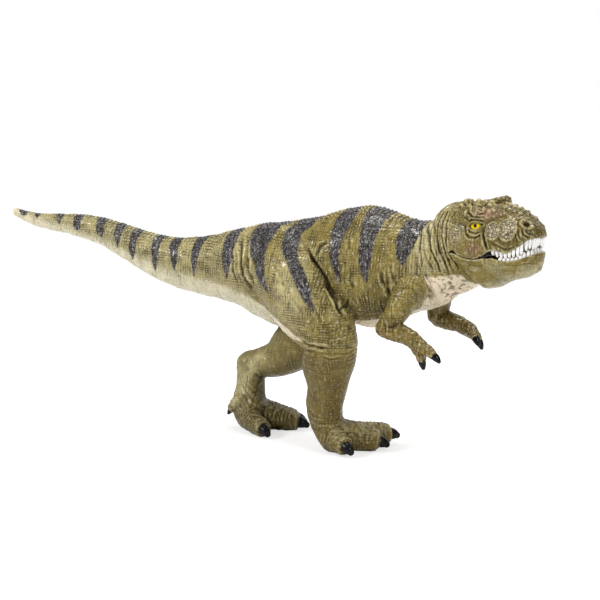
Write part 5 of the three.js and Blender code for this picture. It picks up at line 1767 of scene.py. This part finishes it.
class FIGURE_OT_stage(bpy.types.Operator):
    """Floor, lamps and camera"""
    bl_idname = "figure.stage"
    bl_label = "Stage"

    def execute(self, context):
        scene = context.scene
        floor = white_floor()
        scene.collection.objects.link(floor)
        scene.world = white_room()
        for name, place, size, power in LAMPS:
            light = bpy.data.lights.new(name, "AREA")
            light.size = size
            light.energy = power
            lamp = bpy.data.objects.new(name, light)
            lamp.location = place
            lamp.rotation_euler = (Vector(place) - AIM).to_track_quat("Z", "Y").to_euler()
            scene.collection.objects.link(lamp)

        camera_data = bpy.data.cameras.new("Camera")
        camera_data.sensor_width = SENSOR
        camera_data.lens = LENS
        camera_data.shift_x, camera_data.shift_y = SHIFT
        camera_data.clip_start = 0.01
        camera = bpy.data.objects.new("Camera", camera_data)
        camera.location = AIM + TO_CAMERA
        camera.rotation_euler = TO_CAMERA.to_track_quat("Z", "Y").to_euler()
        scene.collection.objects.link(camera)
        scene.camera = camera
        scene.view_settings.view_transform = "Standard"
        return {"FINISHED"}


def size(name, about, default, low, high):
    """A number of the panel, with its range."""
    return bpy.props.FloatProperty(name=name, description=about, default=default, min=low, max=high)


def colour(name, about, chart):
    """A colour of the panel, from a paint chart's values."""
    return bpy.props.FloatVectorProperty(
        name=name, description=about, default=paint(*chart), subtype="COLOR", size=3, min=0, max=1)


class FigureSizes(bpy.types.PropertyGroup):
    """Sizes of the skin's cells, and strengths of its relief and paint"""
    trunk_cell: size("Trunk cell", "Cell of the trunk's skin, in millimetres", 0.62, 0.3, 2)
    tail_cell: size("Tail cell", "Cell of the tail's skin, in millimetres", 0.45, 0.3, 2)
    head_cell: size("Head cell", "Cell of the head's skin, in millimetres", 0.38, 0.2, 2)
    jaw_cell: size("Jaw cell", "Cell of the jaw's skin, in millimetres", 0.36, 0.2, 2)
    leg_cell: size("Leg cell", "Cell of the lower legs' skin, in millimetres", 0.45, 0.3, 2)
    arm_cell: size("Arm cell", "Cell of the arms' skin, in millimetres", 0.36, 0.2, 2)
    relief: size("Relief", "Depth of folds and wrinkles, against the real one", 1.0, 0, 2)
    dry_brush: size("Dry brush", "Strength of the pale brushing on ridges", 0.5, 0, 1)
    # The wash also carries painted shade in the creases and in the recess before the eye
    wash: size("Wash", "Strength of the dark wash in grooves", 0.88, 0, 1)
    stroke_pitch: bpy.props.FloatProperty(
        name="Stroke pitch", description="Space between the fine strokes of the skin",
        default=0.0012, min=0.0003, max=0.01, unit="LENGTH")


class FigureColours(bpy.types.PropertyGroup):
    """Paints of the figure"""
    olive: colour("Olive", "Main colour of the skin", (116, 101, 42))
    olive_light: colour("Light olive", "Paler clouds of the skin", (138, 122, 62))
    # Dark olive paints the mottling and the painted shade
    olive_dark: colour("Dark olive", "Mottling of the skin", (84, 71, 26))
    cream: colour("Cream", "Belly, throat and underside of the tail", (206, 198, 170))
    cream_rosy: colour("Rosy cream", "Pinkish places of the belly", (230, 208, 182))
    mauve: colour("Mauve", "Cheeks and brow", (150, 108, 96))
    bone: colour("Bone", "Scales of the pale patches", (190, 178, 146))
    stripe: colour("Stripe", "Dark stripes", (38, 34, 38))
    stripe_pale: colour("Stripe brushing", "Pale brushing in the stripes", (176, 175, 176))
    straw_dull: colour("Dull straw", "Between olive and cream", (164, 155, 118))
    brown: colour("Brown", "Legs, feet and forearms", (100, 76, 22))
    grey: colour("Greenish grey", "Scales behind the eye, left calf", (118, 118, 84))
    maroon: colour("Maroon", "Inside of the mouth", (44, 18, 20))
    # Straw paints the dry brush and the painted highlights
    straw: colour("Straw", "Dry brush on ridges", (224, 213, 164))
    # The wash colour also paints the shade in the creases and in the recess before the eye
    wash: colour("Wash", "Dark wash in grooves", (40, 31, 10))
    tooth: colour("Tooth", "Teeth", (240, 238, 234))
    tooth_shade: colour("Tooth shade", "Greyer places of the teeth", (206, 204, 202))
    tongue: colour("Tongue", "Tongue", (128, 62, 60))
    tongue_dark: colour("Dark tongue", "Darker places of the tongue", (84, 36, 38))
    iris: colour("Iris", "Eyes", (236, 200, 18))
    iris_deep: colour("Deep iris", "Flecks of the eyes", (206, 160, 10))
    eye_corner: colour("Eye corner", "Front corner of the eyes", (120, 128, 40))
    pupil: colour("Pupil", "Pupils", (18, 16, 12))
    claw: colour("Claw", "Claws", (11, 10, 12))
    claw_worn: colour("Worn claw", "Worn places of the claws", (38, 36, 38))


PIECES = (FIGURE_OT_trunk, FIGURE_OT_head, FIGURE_OT_jaw, FIGURE_OT_teeth, FIGURE_OT_tongue,
          FIGURE_OT_eyes, FIGURE_OT_legs, FIGURE_OT_arms, FIGURE_OT_claws, FIGURE_OT_pin,
          FIGURE_OT_stage)


class FIGURE_PT_pieces(bpy.types.Panel):
    """Sizes, colours and pieces of the figure"""
    bl_label = "Dinosaur figure"
    bl_idname = "FIGURE_PT_pieces"
    bl_space_type = "VIEW_3D"
    bl_region_type = "UI"
    bl_category = "Dinosaur"

    def draw(self, context):
        for group in (context.scene.figure_sizes, context.scene.figure_colours):
            box = self.layout.box()
            for key in group.__annotations__:
                box.prop(group, key)
        for piece in PIECES:
            self.layout.operator(piece.bl_idname)


def register():
    """Adds the classes and the scene's two groups."""
    for kind in (FigureSizes, FigureColours, *PIECES, FIGURE_PT_pieces):
        bpy.utils.register_class(kind)
    bpy.types.Scene.figure_sizes = bpy.props.PointerProperty(type=FigureSizes)
    bpy.types.Scene.figure_colours = bpy.props.PointerProperty(type=FigureColours)


def unregister():
    """Takes away what register added."""
    del bpy.types.Scene.figure_colours
    del bpy.types.Scene.figure_sizes
    for kind in (FIGURE_PT_pieces, *reversed(PIECES), FigureColours, FigureSizes):
        bpy.utils.unregister_class(kind)


def main():
    """Makes every piece in order."""
    register()
    for piece in PIECES:
        group, name = piece.bl_idname.split(".")
        getattr(getattr(bpy.ops, group), name)()


if __name__ == "__main__":
    main()
